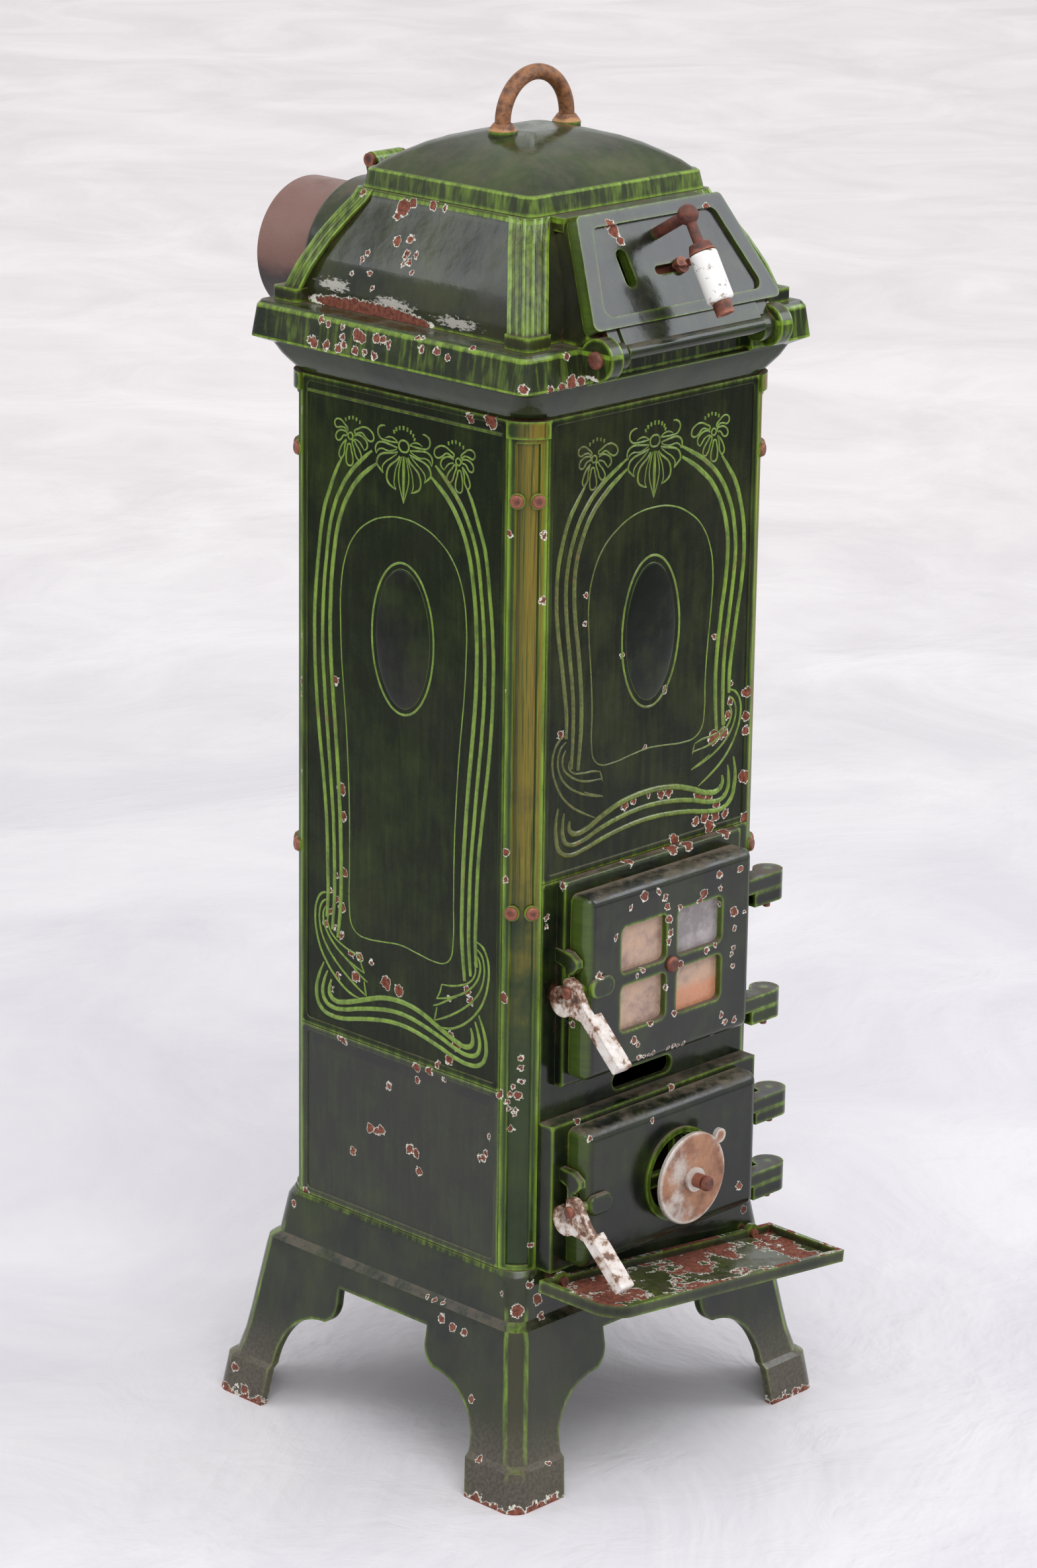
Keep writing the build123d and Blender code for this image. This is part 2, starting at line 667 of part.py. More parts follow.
def lever(pivot, left):
    """A cast latch lever: a flat hooked head on the rivet and a wide arm hanging to a square end."""
    shoulder = (pivot[0] - 19.8, pivot[1] - 10.0)
    end_out = (pivot[0] - 62.6, pivot[1] - 52.8)
    end_in = (pivot[0] - 55.4, pivot[1] - 60.0)
    elbow = (pivot[0] - 16.3, pivot[1] - 22.0)
    with BuildSketch(side(left)) as head:
        with Locations(pivot):
            Circle(12.0)
        with BuildLine():
            Polyline((pivot[0] - 7.0, pivot[1] + 9.5), shoulder, end_out, end_in, elbow,
                     (pivot[0] + 2.0, pivot[1] - 20.0), (pivot[0] + 2.0, pivot[1] + 4.0), close=True)
        make_face()
        with Locations((pivot[0] + 6.5, pivot[1] - 9.5)):
            Circle(14.0)
        with Locations((pivot[0] + 9.0, pivot[1] + 5.5)):
            Rectangle(8.0, 28.0, mode=Mode.SUBTRACT)
        with Locations((pivot[0] + 9.0, pivot[1] - 8.5)):
            Circle(4.0, mode=Mode.SUBTRACT)
        with Locations((pivot[0] + 18.0, pivot[1] + 8.0)):
            Rectangle(12.0, 14.0, mode=Mode.SUBTRACT)
    extrude(head.sketch, amount=blade)
    with BuildSketch(side(left)) as arm:
        with BuildLine():
            inner_root = between(end_in, elbow, 0.80)
            Polyline(between(shoulder, end_out, 0.12), end_out, end_in, inner_root, close=True)
        make_face()
    extrude(arm.sketch, amount=lever_wide)
    cylinder_x((left - 1.0, left + lever_wide), *pivot, rivet_r + pin_clear, Mode.SUBTRACT)


levers = (("upper", upper_pivot, lever_left_upper), ("lower", lower_pivot, lever_left_lower))
for label, pivot, left in levers:
    with BuildPart() as latch_lever:
        lever(pivot, left)
        long_edges = edges().filter_by(Axis.X).filter_by(lambda e: e.center().Z < pivot[1] - 40.0)
        fillet(long_edges, 2.0)
    save(latch_lever, f"{label}_latch_lever")
    with BuildPart() as latch_rivet:
        seat = Plane(origin=(left - 0.1, body_y + pivot[0], pivot[1]), x_dir=(0, 1, 0), z_dir=(-1, 0, 0))
        domed_head(seat, 5.5, 3.2, rivet_r, lever_wide + 3.0)
    save(latch_rivet, f"{label}_latch_rivet")


# ---------------------------------------------------------------- draught regulator
regulator_head = facing(regulator_x, spindle_head_y, regulator_z)
with BuildPart() as regulator_spindle:
    domed_head(regulator_head, 7.0, 5.0, spindle_r, -(spindle_head_y - lower_door_front) + wall + 3.0)
save(regulator_spindle, "regulator_spindle")

through_disc = (disc_back + 5.0, bush_front - 5.0)
with BuildPart() as regulator_bush:
    cylinder_y(regulator_x, regulator_z, (disc_back + 2.5, bush_front), bush_r)
    cylinder_y(regulator_x, regulator_z, (disc_back + 2.5, disc_back + 0.2), 10.0)
    cylinder_y(regulator_x, regulator_z, through_disc, spindle_r + pin_clear, Mode.SUBTRACT)
save(regulator_bush, "regulator_bush")

with BuildPart() as regulator_disc:
    cylinder_y(regulator_x, regulator_z, (disc_back, disc_back - disc_thick), disc_r)
    fillet(edges().filter_by(GeomType.CIRCLE).sort_by(Axis.Y)[0], 1.8)
    cylinder_y(regulator_x, regulator_z, (disc_back - disc_thick + 1.0, disc_back - disc_thick - 4.0), 11.0)
    with BuildSketch(front(disc_back)):
        with Locations((regulator_x + 35.0, regulator_z + 31.0)):
            Circle(6.5)
    extrude(amount=disc_thick)
    cylinder_y(regulator_x, regulator_z, through_disc, bush_r + pin_clear, Mode.SUBTRACT)
save(regulator_disc, "regulator_disc")


# ---------------------------------------------------------------- ash shelf
shelf_rim = 11.0
shelf_depth = shelf_reach + shelf_back
shelf_mid = (shelf_left + shelf_right) / 2
shelf_plane = Plane(origin=(shelf_mid, body_y, shelf_under(shelf_mid)))
shelf_plane = shelf_plane.rotated((0, shelf_tilt, 0))
shelf_half = (shelf_right - shelf_left) / 2 / cos(radians(shelf_tilt))
stud_hole = 0.25


def shelf_outline(plane, margin):
    """The shelf's plan on a plane: rounded front left corner, square front right corner."""
    left = -shelf_half + margin
    right = shelf_half - margin
    back = shelf_back - margin
    ahead = -shelf_reach + margin
    round_r = 25.0 - margin
    with BuildSketch(plane) as outline:
        with BuildLine():
            Polyline((left, ahead + round_r), (left, back), (right, back), (right, ahead),
                     (left + round_r, ahead))
            ThreePointArc((left + round_r, ahead), (left + 0.293 * round_r, ahead + 0.293 * round_r),
                          (left, ahead + round_r))
        make_face()
    return outline.sketch


with BuildPart() as ash_shelf:
    extrude(shelf_outline(shelf_plane, 0.0), amount=shelf_rim)
    extrude(shelf_outline(shelf_plane.offset(shelf_floor), 5.0), amount=shelf_rim, mode=Mode.SUBTRACT)
    for x in stud_x:
        with BuildSketch(front(shelf_back + 2.0)):
            with Locations((x, shelf_under(x) + stud_lift)):
                Circle(8.0)
        extrude(amount=5.0 + 2.0)
    for x in stud_x:
        through = (shelf_back + 20.0, shelf_back - 30.0)
        cylinder_y(x, shelf_under(x) + stud_lift, through, stud_r + stud_hole, Mode.SUBTRACT)
    split(bisect_by=Plane(origin=(0, body_y + shelf_back, 0), z_dir=(0, -1, 0)), keep=Keep.TOP)
save(ash_shelf, "ash_shelf")

with BuildPart() as shelf_studs:
    for x in stud_x:
        cylinder_y(x, shelf_under(x) + stud_lift, (-body_y_half + 4.0, shelf_back - 9.0), stud_r)
save(shelf_studs, "shelf_studs")


# ---------------------------------------------------------------- grate plate, grate and firebricks
grate_open_x = body_x - 63.0
grate_open_y = body_y_half - 62.0
grate_thick = 10.0
brick_thick = 28.0
brick_top = 640.0

with BuildPart() as grate_plate:
    with BuildSketch(level(grate_plate_z[0])):
        RectangleRounded(2 * (body_x - column_thick - seam), 2 * (body_y_half - column_thick - seam), 20.5)
        RectangleRounded(2 * grate_open_x, 2 * grate_open_y, 8.0, mode=Mode.SUBTRACT)
        with Locations(*rod_points):
            Circle(rod_r + rod_clear, mode=Mode.SUBTRACT)
    extrude(amount=grate_plate_z[1] - grate_plate_z[0])
save(grate_plate, "grate_plate")

with BuildPart() as fire_grate:
    with BuildSketch(level(grate_plate_z[1])):
        RectangleRounded(2 * (grate_open_x + 8.0), 2 * (grate_open_y + 8.0), 8.0)
        with GridLocations(grate_open_x / 5.75, grate_open_y - 2.0, 11, 2):
            SlotOverall(grate_open_y - 10.0, 8.0, rotation=90, mode=Mode.SUBTRACT)
    extrude(amount=grate_thick)
save(fire_grate, "fire_grate")

brick_low = grate_plate_z[1] + 0.2
brick_y = inner_y - seam - brick_thick - 1.7
for label, sign in (("left", -1), ("right", 1)):
    with BuildPart() as side_brick:
        reach = sorted((sign * (inner_x - seam), sign * (inner_x - seam - brick_thick)))
        box(reach, (-brick_y, brick_y), (brick_low, brick_top))
    save(side_brick, f"{label}_firebrick")
with BuildPart() as back_brick:
    box((-inner_x + brick_thick + 1.0, inner_x - brick_thick - 1.0),
        (inner_y - seam - brick_thick, inner_y - seam), (brick_low, brick_top))
save(back_brick, "back_firebrick")


# ---------------------------------------------------------------- cornice
cornice_steps = [
    # height over the body's top, how far out along x and along y, corner
    (seam, -2.0, -2.0, 28.0),
    (3.0, -0.2, -0.5, 27.0),
    (9.0, 4.3, 2.8, 24.0),
    (15.0, 7.6, 6.0, 20.0),
    (24.5, 11.8, 8.8, 15.0),
    (30.0, 25.0, 18.3, 10.0),
    (cornice_top - body_top - 4.0, 21.3, 15.3, 10.0),
    (cornice_top - body_top, 18.0, 12.0, 8.0),
]
cornice_sections = [
    (body_top + rise, body_x + out_x, body_y_half + out_y, corner)
    for rise, out_x, out_y, corner in cornice_steps
]
flap_pivot = (-(body_y_half + 34.0), cornice_top - 8.0)      # axis of the filling flap, y and z
flap_lean = 30.3                          # the flap's slope from upright
ear_outer = body_x - 43.0
ear_thick = 14.0
ear_inner = ear_outer - ear_thick
flap_ear_r = 18.0
bolt_r = 4.0
front_cut_y = -(body_y_half + 9.0)

chambers = [
    # low, high, how far in along x and along y, corner
    (body_top - 1.0, body_top + 7.0, 37.0, 37.0, 10.0),
    (body_top + 7.0, cornice_top - 7.0, 9.0, 9.0, 14.0),
    (cornice_top - 8.0, cornice_top + 1.0, 17.0, 20.0, 10.0),
]

with BuildPart() as cornice:
    bands(cornice_sections)
    # opening at the foot, chamber, opening at the top
    for low, high, in_x, in_y, corner in chambers:
        half_x = body_x - in_x
        half_y = body_y_half - in_y
        bands([(low, half_x, half_y, corner), (high, half_x, half_y, corner)], mode=Mode.SUBTRACT)
    flap_room = (front_cut_y - 43.0, front_cut_y)
    box((-ear_inner - 0.3, ear_inner + 0.3), flap_room, (body_top + 28.0, cornice_top + 1.0), Mode.SUBTRACT)
    for sign in (-1, 1):
        ends = sorted((sign * ear_inner, sign * ear_outer))
        box(ends, (flap_pivot[0] + 4.0, front_cut_y + 6.0), (flap_pivot[1] - 16.0, cornice_top))
        cylinder_x(ends, *flap_pivot, flap_ear_r)
        cylinder_x((ends[0] - 1.0, ends[1] + 1.0), *flap_pivot, bolt_r + pin_clear, Mode.SUBTRACT)
    for x, y in rod_points:
        cylinder_z(x, y, (body_top - 6.0, body_top + 14.0), rod_r + rod_clear, Mode.SUBTRACT)
    cylinder_y(0, flue_z, (body_y_half + 52.0, body_y_half - 48.0), neck_r + neck_clear, Mode.SUBTRACT)
save(cornice, "cornice")

with BuildPart() as tie_rods:
    for x, y in rod_points:
        cylinder_z(x, y, (body_bottom - 18.0, body_top + 20.0), rod_r)
save(tie_rods, "tie_rods")

with BuildPart() as tie_rod_nuts:
    for x, y in rod_points:
        for low in (floor_top - floor_thick - 7.0, body_top + 7.0):
            with BuildSketch(level(low)):
                with Locations((x, y)):
                    RegularPolygon(7.5, 6)
                    Circle(rod_r + pin_clear, mode=Mode.SUBTRACT)
            extrude(amount=7.0)
save(tie_rod_nuts, "tie_rod_nuts")


# ---------------------------------------------------------------- dome
dome_steps = [
    # height over the cornice, how far in along x and along y, corner
    (seam, 5.0, 8.0, 12.0),
    (18.0, 6.5, 9.5, 12.0),
    (38.0, 13.0, 16.0, 11.0),
    (56.0, 22.0, 24.5, 10.0),
    (75.0, 33.0, 35.0, 9.0),
    (88.0, 40.5, 41.5, 8.0),
    (dome_top - cornice_top, 43.0, 44.0, 7.0),
]
dome_sections = [
    (cornice_top + rise, body_x - in_x, body_y_half - in_y, corner)
    for rise, in_x, in_y, corner in dome_steps
]
hip_steps = [
    (12.0, -2.7, 0.3),
    (31.0, 4.0, 7.0),
    (40.0, 8.4, 11.2),
    (56.0, 16.5, 19.0),
    (75.0, 28.0, 30.5),
    (88.0, 37.5, 39.0),
    (dome_top - cornice_top, 42.4, 43.4),
]
hip_sections = [(cornice_top + rise, body_x - in_x, body_y_half - in_y) for rise, in_x, in_y in hip_steps]
hip_block = 30.0
hip_width = 24.0
flute_wide = 6.0
flute_deep = 1.8
mouth_x = lid_x - 16.7
mouth_y = lid_y - 16.6
lid_gap = 0.3
lid_ears = ((38.0, 46.0), (64.0, 72.0))
lid_ear_r = 6.9
lid_pin_r = 3.5
ear_outline = [(-21.0, -30.0), (-21.0, -17.4), (-7.5, 3.0), (7.6, -3.0), (2.0, -22.0), (-11.0, -42.0)]
flap_plane = Plane(
    origin=(0, body_y + flap_pivot[0], flap_pivot[1]),
    x_dir=(1, 0, 0),
    z_dir=(0, -cos(radians(flap_lean)), sin(radians(flap_lean))),
)


def fluted_corner(height, half_x, half_y, sx, sy):
    """Plan of one hip pilaster: five hollow flutes, two on each face and one on the corner."""
    with BuildSketch(level(height)) as outline:
        with BuildLine():
            start = (sx * (half_x - hip_width), sy * (half_y - hip_width))
            point = (sx * (half_x - hip_width), sy * half_y)
            Line(start, point)
            for index in range(2):
                first = half_x - hip_width + 2.5 + index * (flute_wide + 2.0)
                Line(point, (sx * first, sy * half_y))
                point = (sx * (first + flute_wide), sy * half_y)
                ThreePointArc((sx * first, sy * half_y),
                              (sx * (first + flute_wide / 2), sy * (half_y - flute_deep)), point)
            turn = half_x - 5.5
            Line(point, (sx * turn, sy * half_y))
            corner_end = (sx * half_x, sy * (half_y - 5.5))
            ThreePointArc((sx * turn, sy * half_y), (sx * (half_x - 4.2), sy * (half_y - 4.2)), corner_end)
            point = corner_end
            for index in range(2):
                first = half_y - hip_width + 2.5 + (1 - index) * (flute_wide + 2.0) + flute_wide
                Line(point, (sx * half_x, sy * first))
                point = (sx * half_x, sy * (first - flute_wide))
                ThreePointArc((sx * half_x, sy * first),
                              (sx * (half_x - flute_deep), sy * (first - flute_wide / 2)), point)
            Line(point, (sx * half_x, sy * (half_y - hip_width)))
            Line((sx * half_x, sy * (half_y - hip_width)), start)
        make_face()
    return outline.sketch


def sloped_frame(half_low, half_high, low, high, corner, lift, amount, mode=Mode.ADD):
    """A tapered plate on the flap's slope, from low to high along it."""
    with BuildSketch(flap_plane.offset(lift)) as outline:
        with BuildLine():
            Polyline((-half_low, low), (half_low, low), (half_high, high), (-half_high, high), close=True)
        make_face()
        fillet(outline.vertices(), corner)
    extrude(outline.sketch, amount=amount, mode=mode)


with BuildPart() as dome:
    bands(dome_sections)
    # hopper under the filling flap
    sloped_frame(body_x - 42.0, body_x - 69.0, 15.6, 118.0, 5.0, 0.0, -66.0)
    crest_x = body_x - 67.0
    box((-crest_x, crest_x), (28.5 - body_y_half, 58.0 - body_y_half), (dome_top - 11.6, dome_top))
    for sx in (-1, 1):
        for sy in (-1, 1):
            loft([fluted_corner(*section, sx, sy) for section in hip_sections], ruled=True)
            block_x = sx * (body_x + 8.0 - hip_block / 2)
            block_y = sy * (body_y_half + 5.0 - hip_block / 2)
            with BuildSketch(level(cornice_top + seam)):
                with Locations((block_x, block_y)):
                    RectangleRounded(hip_block, hip_block, 5.0)
            extrude(amount=hip_steps[0][0] - seam)
    foot = (cornice_top - 1.0, body_x - 12.0, body_y_half - 15.0, 6.0)
    crest = (dome_top - dome_wall, body_x - 50.0, body_y_half - 51.0, 5.0)
    bands([foot] + inset(dome_sections[1:-1], dome_wall) + [crest], mode=Mode.SUBTRACT)
    sloped_frame(body_x - 63.0, body_x - 87.0, 30.0, 104.0, 6.0, 1.0, -90.0, Mode.SUBTRACT)
    with BuildSketch(level(dome_top - 20.0)):
        RectangleRounded(2 * mouth_x, 2 * mouth_y, 8.0)
    extrude(amount=30.0, mode=Mode.SUBTRACT)
    split(bisect_by=level(cornice_top + seam), keep=Keep.TOP)
    cylinder_y(0, flue_z, (body_y_half + 52.0, body_y_half - 48.0), neck_r + neck_clear, Mode.SUBTRACT)
    for sign in (-1, 1):
        ends = sorted((sign * (ear_inner - 0.6), sign * (ear_outer + 0.6)))
        cylinder_x(ends, *flap_pivot, flap_ear_r + 0.6, Mode.SUBTRACT)
        for near, far in lid_ears:
            ends = sorted((sign * near, sign * far))
            with BuildSketch(side(ends[0])) as ear:
                with Locations((lid_hinge_y, lid_hinge_z)):
                    Circle(lid_ear_r)
                with BuildLine():
                    points = [(lid_hinge_y + along, lid_hinge_z + rise) for along, rise in ear_outline]
                    Polyline(points, close=True)
                make_face()
            extrude(ear.sketch, amount=far - near)
        ends = sorted((sign * (lid_ears[0][0] - 8.0), sign * (lid_ears[1][1] + 8.0)))
        cylinder_x(ends, lid_hinge_y, lid_hinge_z, lid_pin_r + pin_clear, Mode.SUBTRACT)
save(dome, "dome")


# ---------------------------------------------------------------- flue
pipe_stop = body_y_half + 12.0            # the shoulder in the neck the pipe is pushed up to

with BuildPart() as flue_neck:
    cylinder_y(0, flue_z, (neck_end, body_y_half - 27.0), neck_r)
    fillet(edges().filter_by(GeomType.CIRCLE).sort_by(Axis.Y)[-1], 6.0)
    cylinder_y(0, flue_z, (neck_end + 1.0, pipe_stop), flue_r + 0.3, Mode.SUBTRACT)
    cylinder_y(0, flue_z, (pipe_stop + 10.0, body_y_half - 38.0), flue_r - 5.0, Mode.SUBTRACT)
save(flue_neck, "flue_neck")

with BuildPart() as flue_pipe:
    cylinder_y(0, flue_z, (flue_reach, pipe_stop + 0.3), flue_r)
    cylinder_y(0, flue_z, (flue_reach + 1.0, pipe_stop - 10.0), flue_r - flue_wall, Mode.SUBTRACT)
save(flue_pipe, "flue_pipe")


# ---------------------------------------------------------------- lid
lid_base = dome_top + lid_gap
lid_edge = [(0.0, 0.0, 8.0), (15.1, 2.6, 9.0), (16.9, 4.5, 9.0)]
crown_steps = [
    # height over the lid's underside, share of its half width and half depth, corner
    (16.9, 0.948, 0.945, 11.0),
    (23.6, 0.883, 0.876, 12.0),
    (30.6, 0.791, 0.778, 14.0),
    (37.7, 0.685, 0.664, 16.0),
    (43.1, 0.570, 0.541, 18.0),
    (48.1, 0.414, 0.374, 18.0),
    (52.1, 0.258, 0.217, 12.0),
]
crown = [
    (lid_base + rise, lid_x * across, lid_y * deep, corner)
    for rise, across, deep, corner in crown_steps
]
lid_hollow = [(-7.3, 25.7, 6.0), (13.1, 28.7, 6.0), (31.1, 50.7, 8.0)]
arm_range = (lid_ears[0][1] + 0.4, lid_ears[1][0] - 0.4)
handle_x = 39.0
handle_bar = 6.8
foot_r = 12.5
foot_seat = lid_base + 52.4

with BuildPart() as lid:
    bands([(lid_base + rise, lid_x - drawn, lid_y - drawn, corner) for rise, drawn, corner in lid_edge])
    bands(crown)
    bands([(height, mouth_x - 2.0, mouth_y - 2.0, 7.0) for height in (dome_top - 6.0, lid_base + 1.0)])
    hollow = [(lid_base + rise, lid_x - drawn, lid_y - drawn, corner) for rise, drawn, corner in lid_hollow]
    bands(hollow, mode=Mode.SUBTRACT)
    for sign in (-1, 1):
        cylinder_z(sign * handle_x, 0, (foot_seat - 12.3, foot_seat), foot_r)
        ends = sorted((sign * arm_range[0], sign * arm_range[1]))
        box(ends, (lid_y - 6.0, lid_hinge_y), (lid_hinge_z - 6.0, lid_hinge_z + 2.0))
        cylinder_x(ends, lid_hinge_y, lid_hinge_z, lid_ear_r)
        bored = (ends[0] - 1.0, ends[1] + 1.0)
        cylinder_x(bored, lid_hinge_y, lid_hinge_z, lid_pin_r + pin_clear, Mode.SUBTRACT)
save(lid, "lid")

with BuildPart() as lid_handle:
    low = foot_seat + 0.2
    knee = handle_top - handle_bar - handle_x
    with BuildSketch(Plane(origin=(-handle_x, body_y, knee))):
        Circle(handle_bar)
    revolve(axis=Axis((0, body_y, knee), (0, 1, 0)), revolution_arc=180)
    for sign in (-1, 1):
        with Locations((sign * handle_x, body_y, low)):
            Cone(foot_r, handle_bar + 1.2, 6.0, align=(Align.CENTER, Align.CENTER, Align.MIN))
        cylinder_z(sign * handle_x, 0, (low, knee), handle_bar)
save(lid_handle, "lid_handle")

with BuildPart() as lid_hinge_pins:
    for sign in (-1, 1):
        ends = sorted((sign * (lid_ears[0][0] - 0.1), sign * (lid_ears[1][1] + 0.1)))
        cylinder_x(ends, lid_hinge_y, lid_hinge_z, lid_pin_r)
        cylinder_x((ends[0] - 3.5, ends[0]), lid_hinge_y, lid_hinge_z, 6.0)
        cylinder_x((ends[1], ends[1] + 3.5), lid_hinge_y, lid_hinge_z, 6.0)
save(lid_hinge_pins, "lid_hinge_pins")


# ---------------------------------------------------------------- filling flap
flap_thick = 13.0
flap_low = 20.0
flap_high = 119.0
field_deep = 3.5
lip_r = 6.5
lip_lift = 6.8
knuckle = (ear_inner - 14.0, ear_inner - 0.3)
hole_x = -50.0
hole_v = 69.0
latch_v = 94.0
spindle_flap_r = 5.0
shutter_x = 2.5
shutter_v = 62.5

with BuildPart() as filling_flap:
    sloped_frame(body_x - 39.0, body_x - 67.0, flap_low, flap_high, 6.0, seat_gap, flap_thick)
    with BuildSketch(flap_plane.offset(seat_gap)):
        with Locations((0, (flap_low - 4.0) / 2 + 1.0)):
            Rectangle(2 * knuckle[0], flap_low + 6.0)
    extrude(amount=flap_thick - 3.0)
    # rolled lip along the foot
    lip_y = flap_pivot[0] - lip_lift * cos(radians(flap_lean))
    lip_z = flap_pivot[1] + lip_lift * sin(radians(flap_lean))
    cylinder_x((-knuckle[0], knuckle[0]), lip_y, lip_z, lip_r)
    for sign in (-1, 1):
        ends = sorted((sign * knuckle[0], sign * knuckle[1]))
        cylinder_x(ends, *flap_pivot, 12.0)
        with BuildSketch(flap_plane.offset(seat_gap)):
            with Locations((sign * sum(knuckle) / 2, 11.0)):
                Rectangle(knuckle[1] - knuckle[0], 22.0)
        extrude(amount=8.0)
        cylinder_x((ends[0] - 1.0, ends[1] + 1.0), *flap_pivot, bolt_r + pin_clear, Mode.SUBTRACT)
    field = (flap_low + 10.0, flap_high - 12.0)
    face_lift = seat_gap + flap_thick
    sloped_frame(body_x - 57.0, body_x - 81.0, *field, 8.0, face_lift, -field_deep, Mode.SUBTRACT)
    with BuildSketch(flap_plane.offset(40.0)):
        with Locations((hole_x, hole_v)):
            SlotOverall(34.0, 12.5, rotation=90)
        with Locations((shutter_x, shutter_v)):
            SlotOverall(41.0, 8.0)
        with Locations((0, latch_v)):
            Circle(spindle_flap_r + pin_clear)
    extrude(amount=-60.0, mode=Mode.SUBTRACT)
save(filling_flap, "filling_flap")

with BuildPart() as flap_hinge_bolts:
    for sign in (-1, 1):
        seat = Plane(
            origin=(sign * (ear_outer + 0.1), body_y + flap_pivot[0], flap_pivot[1]),
            x_dir=(0, 1, 0),
            z_dir=(sign, 0, 0),
        )
        domed_head(seat, 7.5, 4.5, bolt_r, ear_outer - knuckle[0] + 1.0)
save(flap_hinge_bolts, "flap_hinge_bolts")


# ---------------------------------------------------------------- flap latch and air shutter
arm_lift = 50.0
arm_r = 4.5
grip_r = 12.0
grip_start = 34.0
grip_end = 78.0
nut_end = 89.0


def on_flap(x, along, lift):
    """A point given by x, the way up the flap's slope and the height over the flap's seat."""
    return flap_plane.from_local_coords((x, along, lift))


down_flap = flap_plane.y_dir * -1
arm_plane = Plane(origin=on_flap(0, latch_v, arm_lift), x_dir=(1, 0, 0), z_dir=down_flap)

with BuildPart() as flap_latch:
    with BuildSketch(flap_plane.offset(-10.0)):
        with Locations((0, latch_v)):
            Circle(spindle_flap_r)
    extrude(amount=arm_lift + 10.0)
    with Locations(arm_plane):
        Sphere(9.0)
    with BuildSketch(arm_plane):
        Circle(arm_r)
    extrude(amount=nut_end - 1.0)
    # cup that holds the grip
    with BuildSketch(arm_plane.offset(grip_start - 8.0)):
        Circle(9.0)
    with BuildSketch(arm_plane.offset(grip_start - 0.2)):
        Circle(11.5)
    loft(ruled=True)
save(flap_latch, "flap_latch")

with BuildPart() as flap_latch_grip:
    with BuildSketch(arm_plane.offset(grip_start)):
        Circle(grip_r)
    extrude(amount=grip_end - grip_start)
    fillet(edges().filter_by(GeomType.CIRCLE), 3.0)
    with BuildSketch(arm_plane.offset(grip_start - 1.0)):
        Circle(arm_r + pin_clear)
    extrude(amount=grip_end - grip_start + 2.0, mode=Mode.SUBTRACT)
save(flap_latch_grip, "flap_latch_grip")

with BuildPart() as flap_latch_nut:
    with BuildSketch(arm_plane.offset(grip_end + 0.2)):
        Circle(8.0)
        Circle(arm_r + pin_clear, mode=Mode.SUBTRACT)
    extrude(amount=nut_end - grip_end)
    rims = edges().filter_by(GeomType.CIRCLE)
    fillet(rims.sort_by(lambda e: (e.center() - arm_plane.origin).dot(down_flap))[-1], 2.0)
save(flap_latch_nut, "flap_latch_nut")

with BuildPart() as flap_tongue:
    with BuildSketch(flap_plane.offset(-9.0)):
        with Locations((12.0, latch_v)):
            SlotOverall(42.0, 18.0)
        with Locations((0, latch_v)):
            Circle(spindle_flap_r + pin_clear, mode=Mode.SUBTRACT)
    extrude(amount=5.0)
save(flap_tongue, "flap_tongue")

stud_rest = 12.0
with BuildPart() as air_shutter:
    with BuildSketch(flap_plane.offset(-2.0)):
        with Locations((-4.0, shutter_v + 2.0)):
            RectangleRounded(64.0, 37.0, 4.0)
    extrude(amount=2.0)
    with BuildSketch(flap_plane.offset(-1.0)):
        with Locations((stud_rest, shutter_v)):
            Circle(3.0)
    extrude(amount=18.0)
save(air_shutter, "air_shutter")

with BuildPart() as wing_knob:
    knob_low = seat_gap + flap_thick - field_deep + 0.3
    with BuildSketch(flap_plane.offset(knob_low)):
        with Locations((stud_rest, shutter_v)):
            Circle(7.0)
            Circle(3.0 + pin_clear, mode=Mode.SUBTRACT)
    extrude(amount=4.0)
    with BuildSketch(flap_plane.offset(knob_low + 3.5)):
        with Locations((stud_rest, shutter_v)):
            SlotOverall(26.0, 5.0)
            Circle(3.0 + pin_clear, mode=Mode.SUBTRACT)
    extrude(amount=7.0)
save(wing_knob, "wing_knob")
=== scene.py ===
"""Looks of the enamelled cast-iron stove, on a pale sheet under soft light.

Glazed castings with cast ornament, rusted and worn metal, mica, porcelain and firebrick.
"""
import json
from math import cos, pi, radians, sin

import bmesh
import bpy
from mathutils import Matrix, Vector

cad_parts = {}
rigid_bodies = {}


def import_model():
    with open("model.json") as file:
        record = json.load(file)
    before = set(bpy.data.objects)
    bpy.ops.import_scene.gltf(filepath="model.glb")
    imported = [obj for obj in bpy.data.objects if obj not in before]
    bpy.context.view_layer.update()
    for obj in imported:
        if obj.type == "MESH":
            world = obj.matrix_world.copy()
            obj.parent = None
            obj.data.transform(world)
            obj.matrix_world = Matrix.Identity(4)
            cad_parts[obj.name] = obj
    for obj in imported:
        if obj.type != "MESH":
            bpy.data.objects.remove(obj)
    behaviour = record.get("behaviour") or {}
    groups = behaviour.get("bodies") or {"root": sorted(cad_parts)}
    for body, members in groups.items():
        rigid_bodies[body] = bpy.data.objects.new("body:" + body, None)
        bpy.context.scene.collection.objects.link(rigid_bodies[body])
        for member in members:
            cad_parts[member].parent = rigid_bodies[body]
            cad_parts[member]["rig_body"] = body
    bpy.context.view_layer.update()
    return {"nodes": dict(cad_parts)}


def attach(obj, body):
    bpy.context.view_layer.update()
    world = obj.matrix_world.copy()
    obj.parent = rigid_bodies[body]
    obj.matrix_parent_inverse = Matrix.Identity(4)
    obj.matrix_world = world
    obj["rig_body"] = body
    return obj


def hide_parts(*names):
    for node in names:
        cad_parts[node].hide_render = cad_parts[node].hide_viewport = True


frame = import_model()
nodes = frame["nodes"]
MM = 0.001

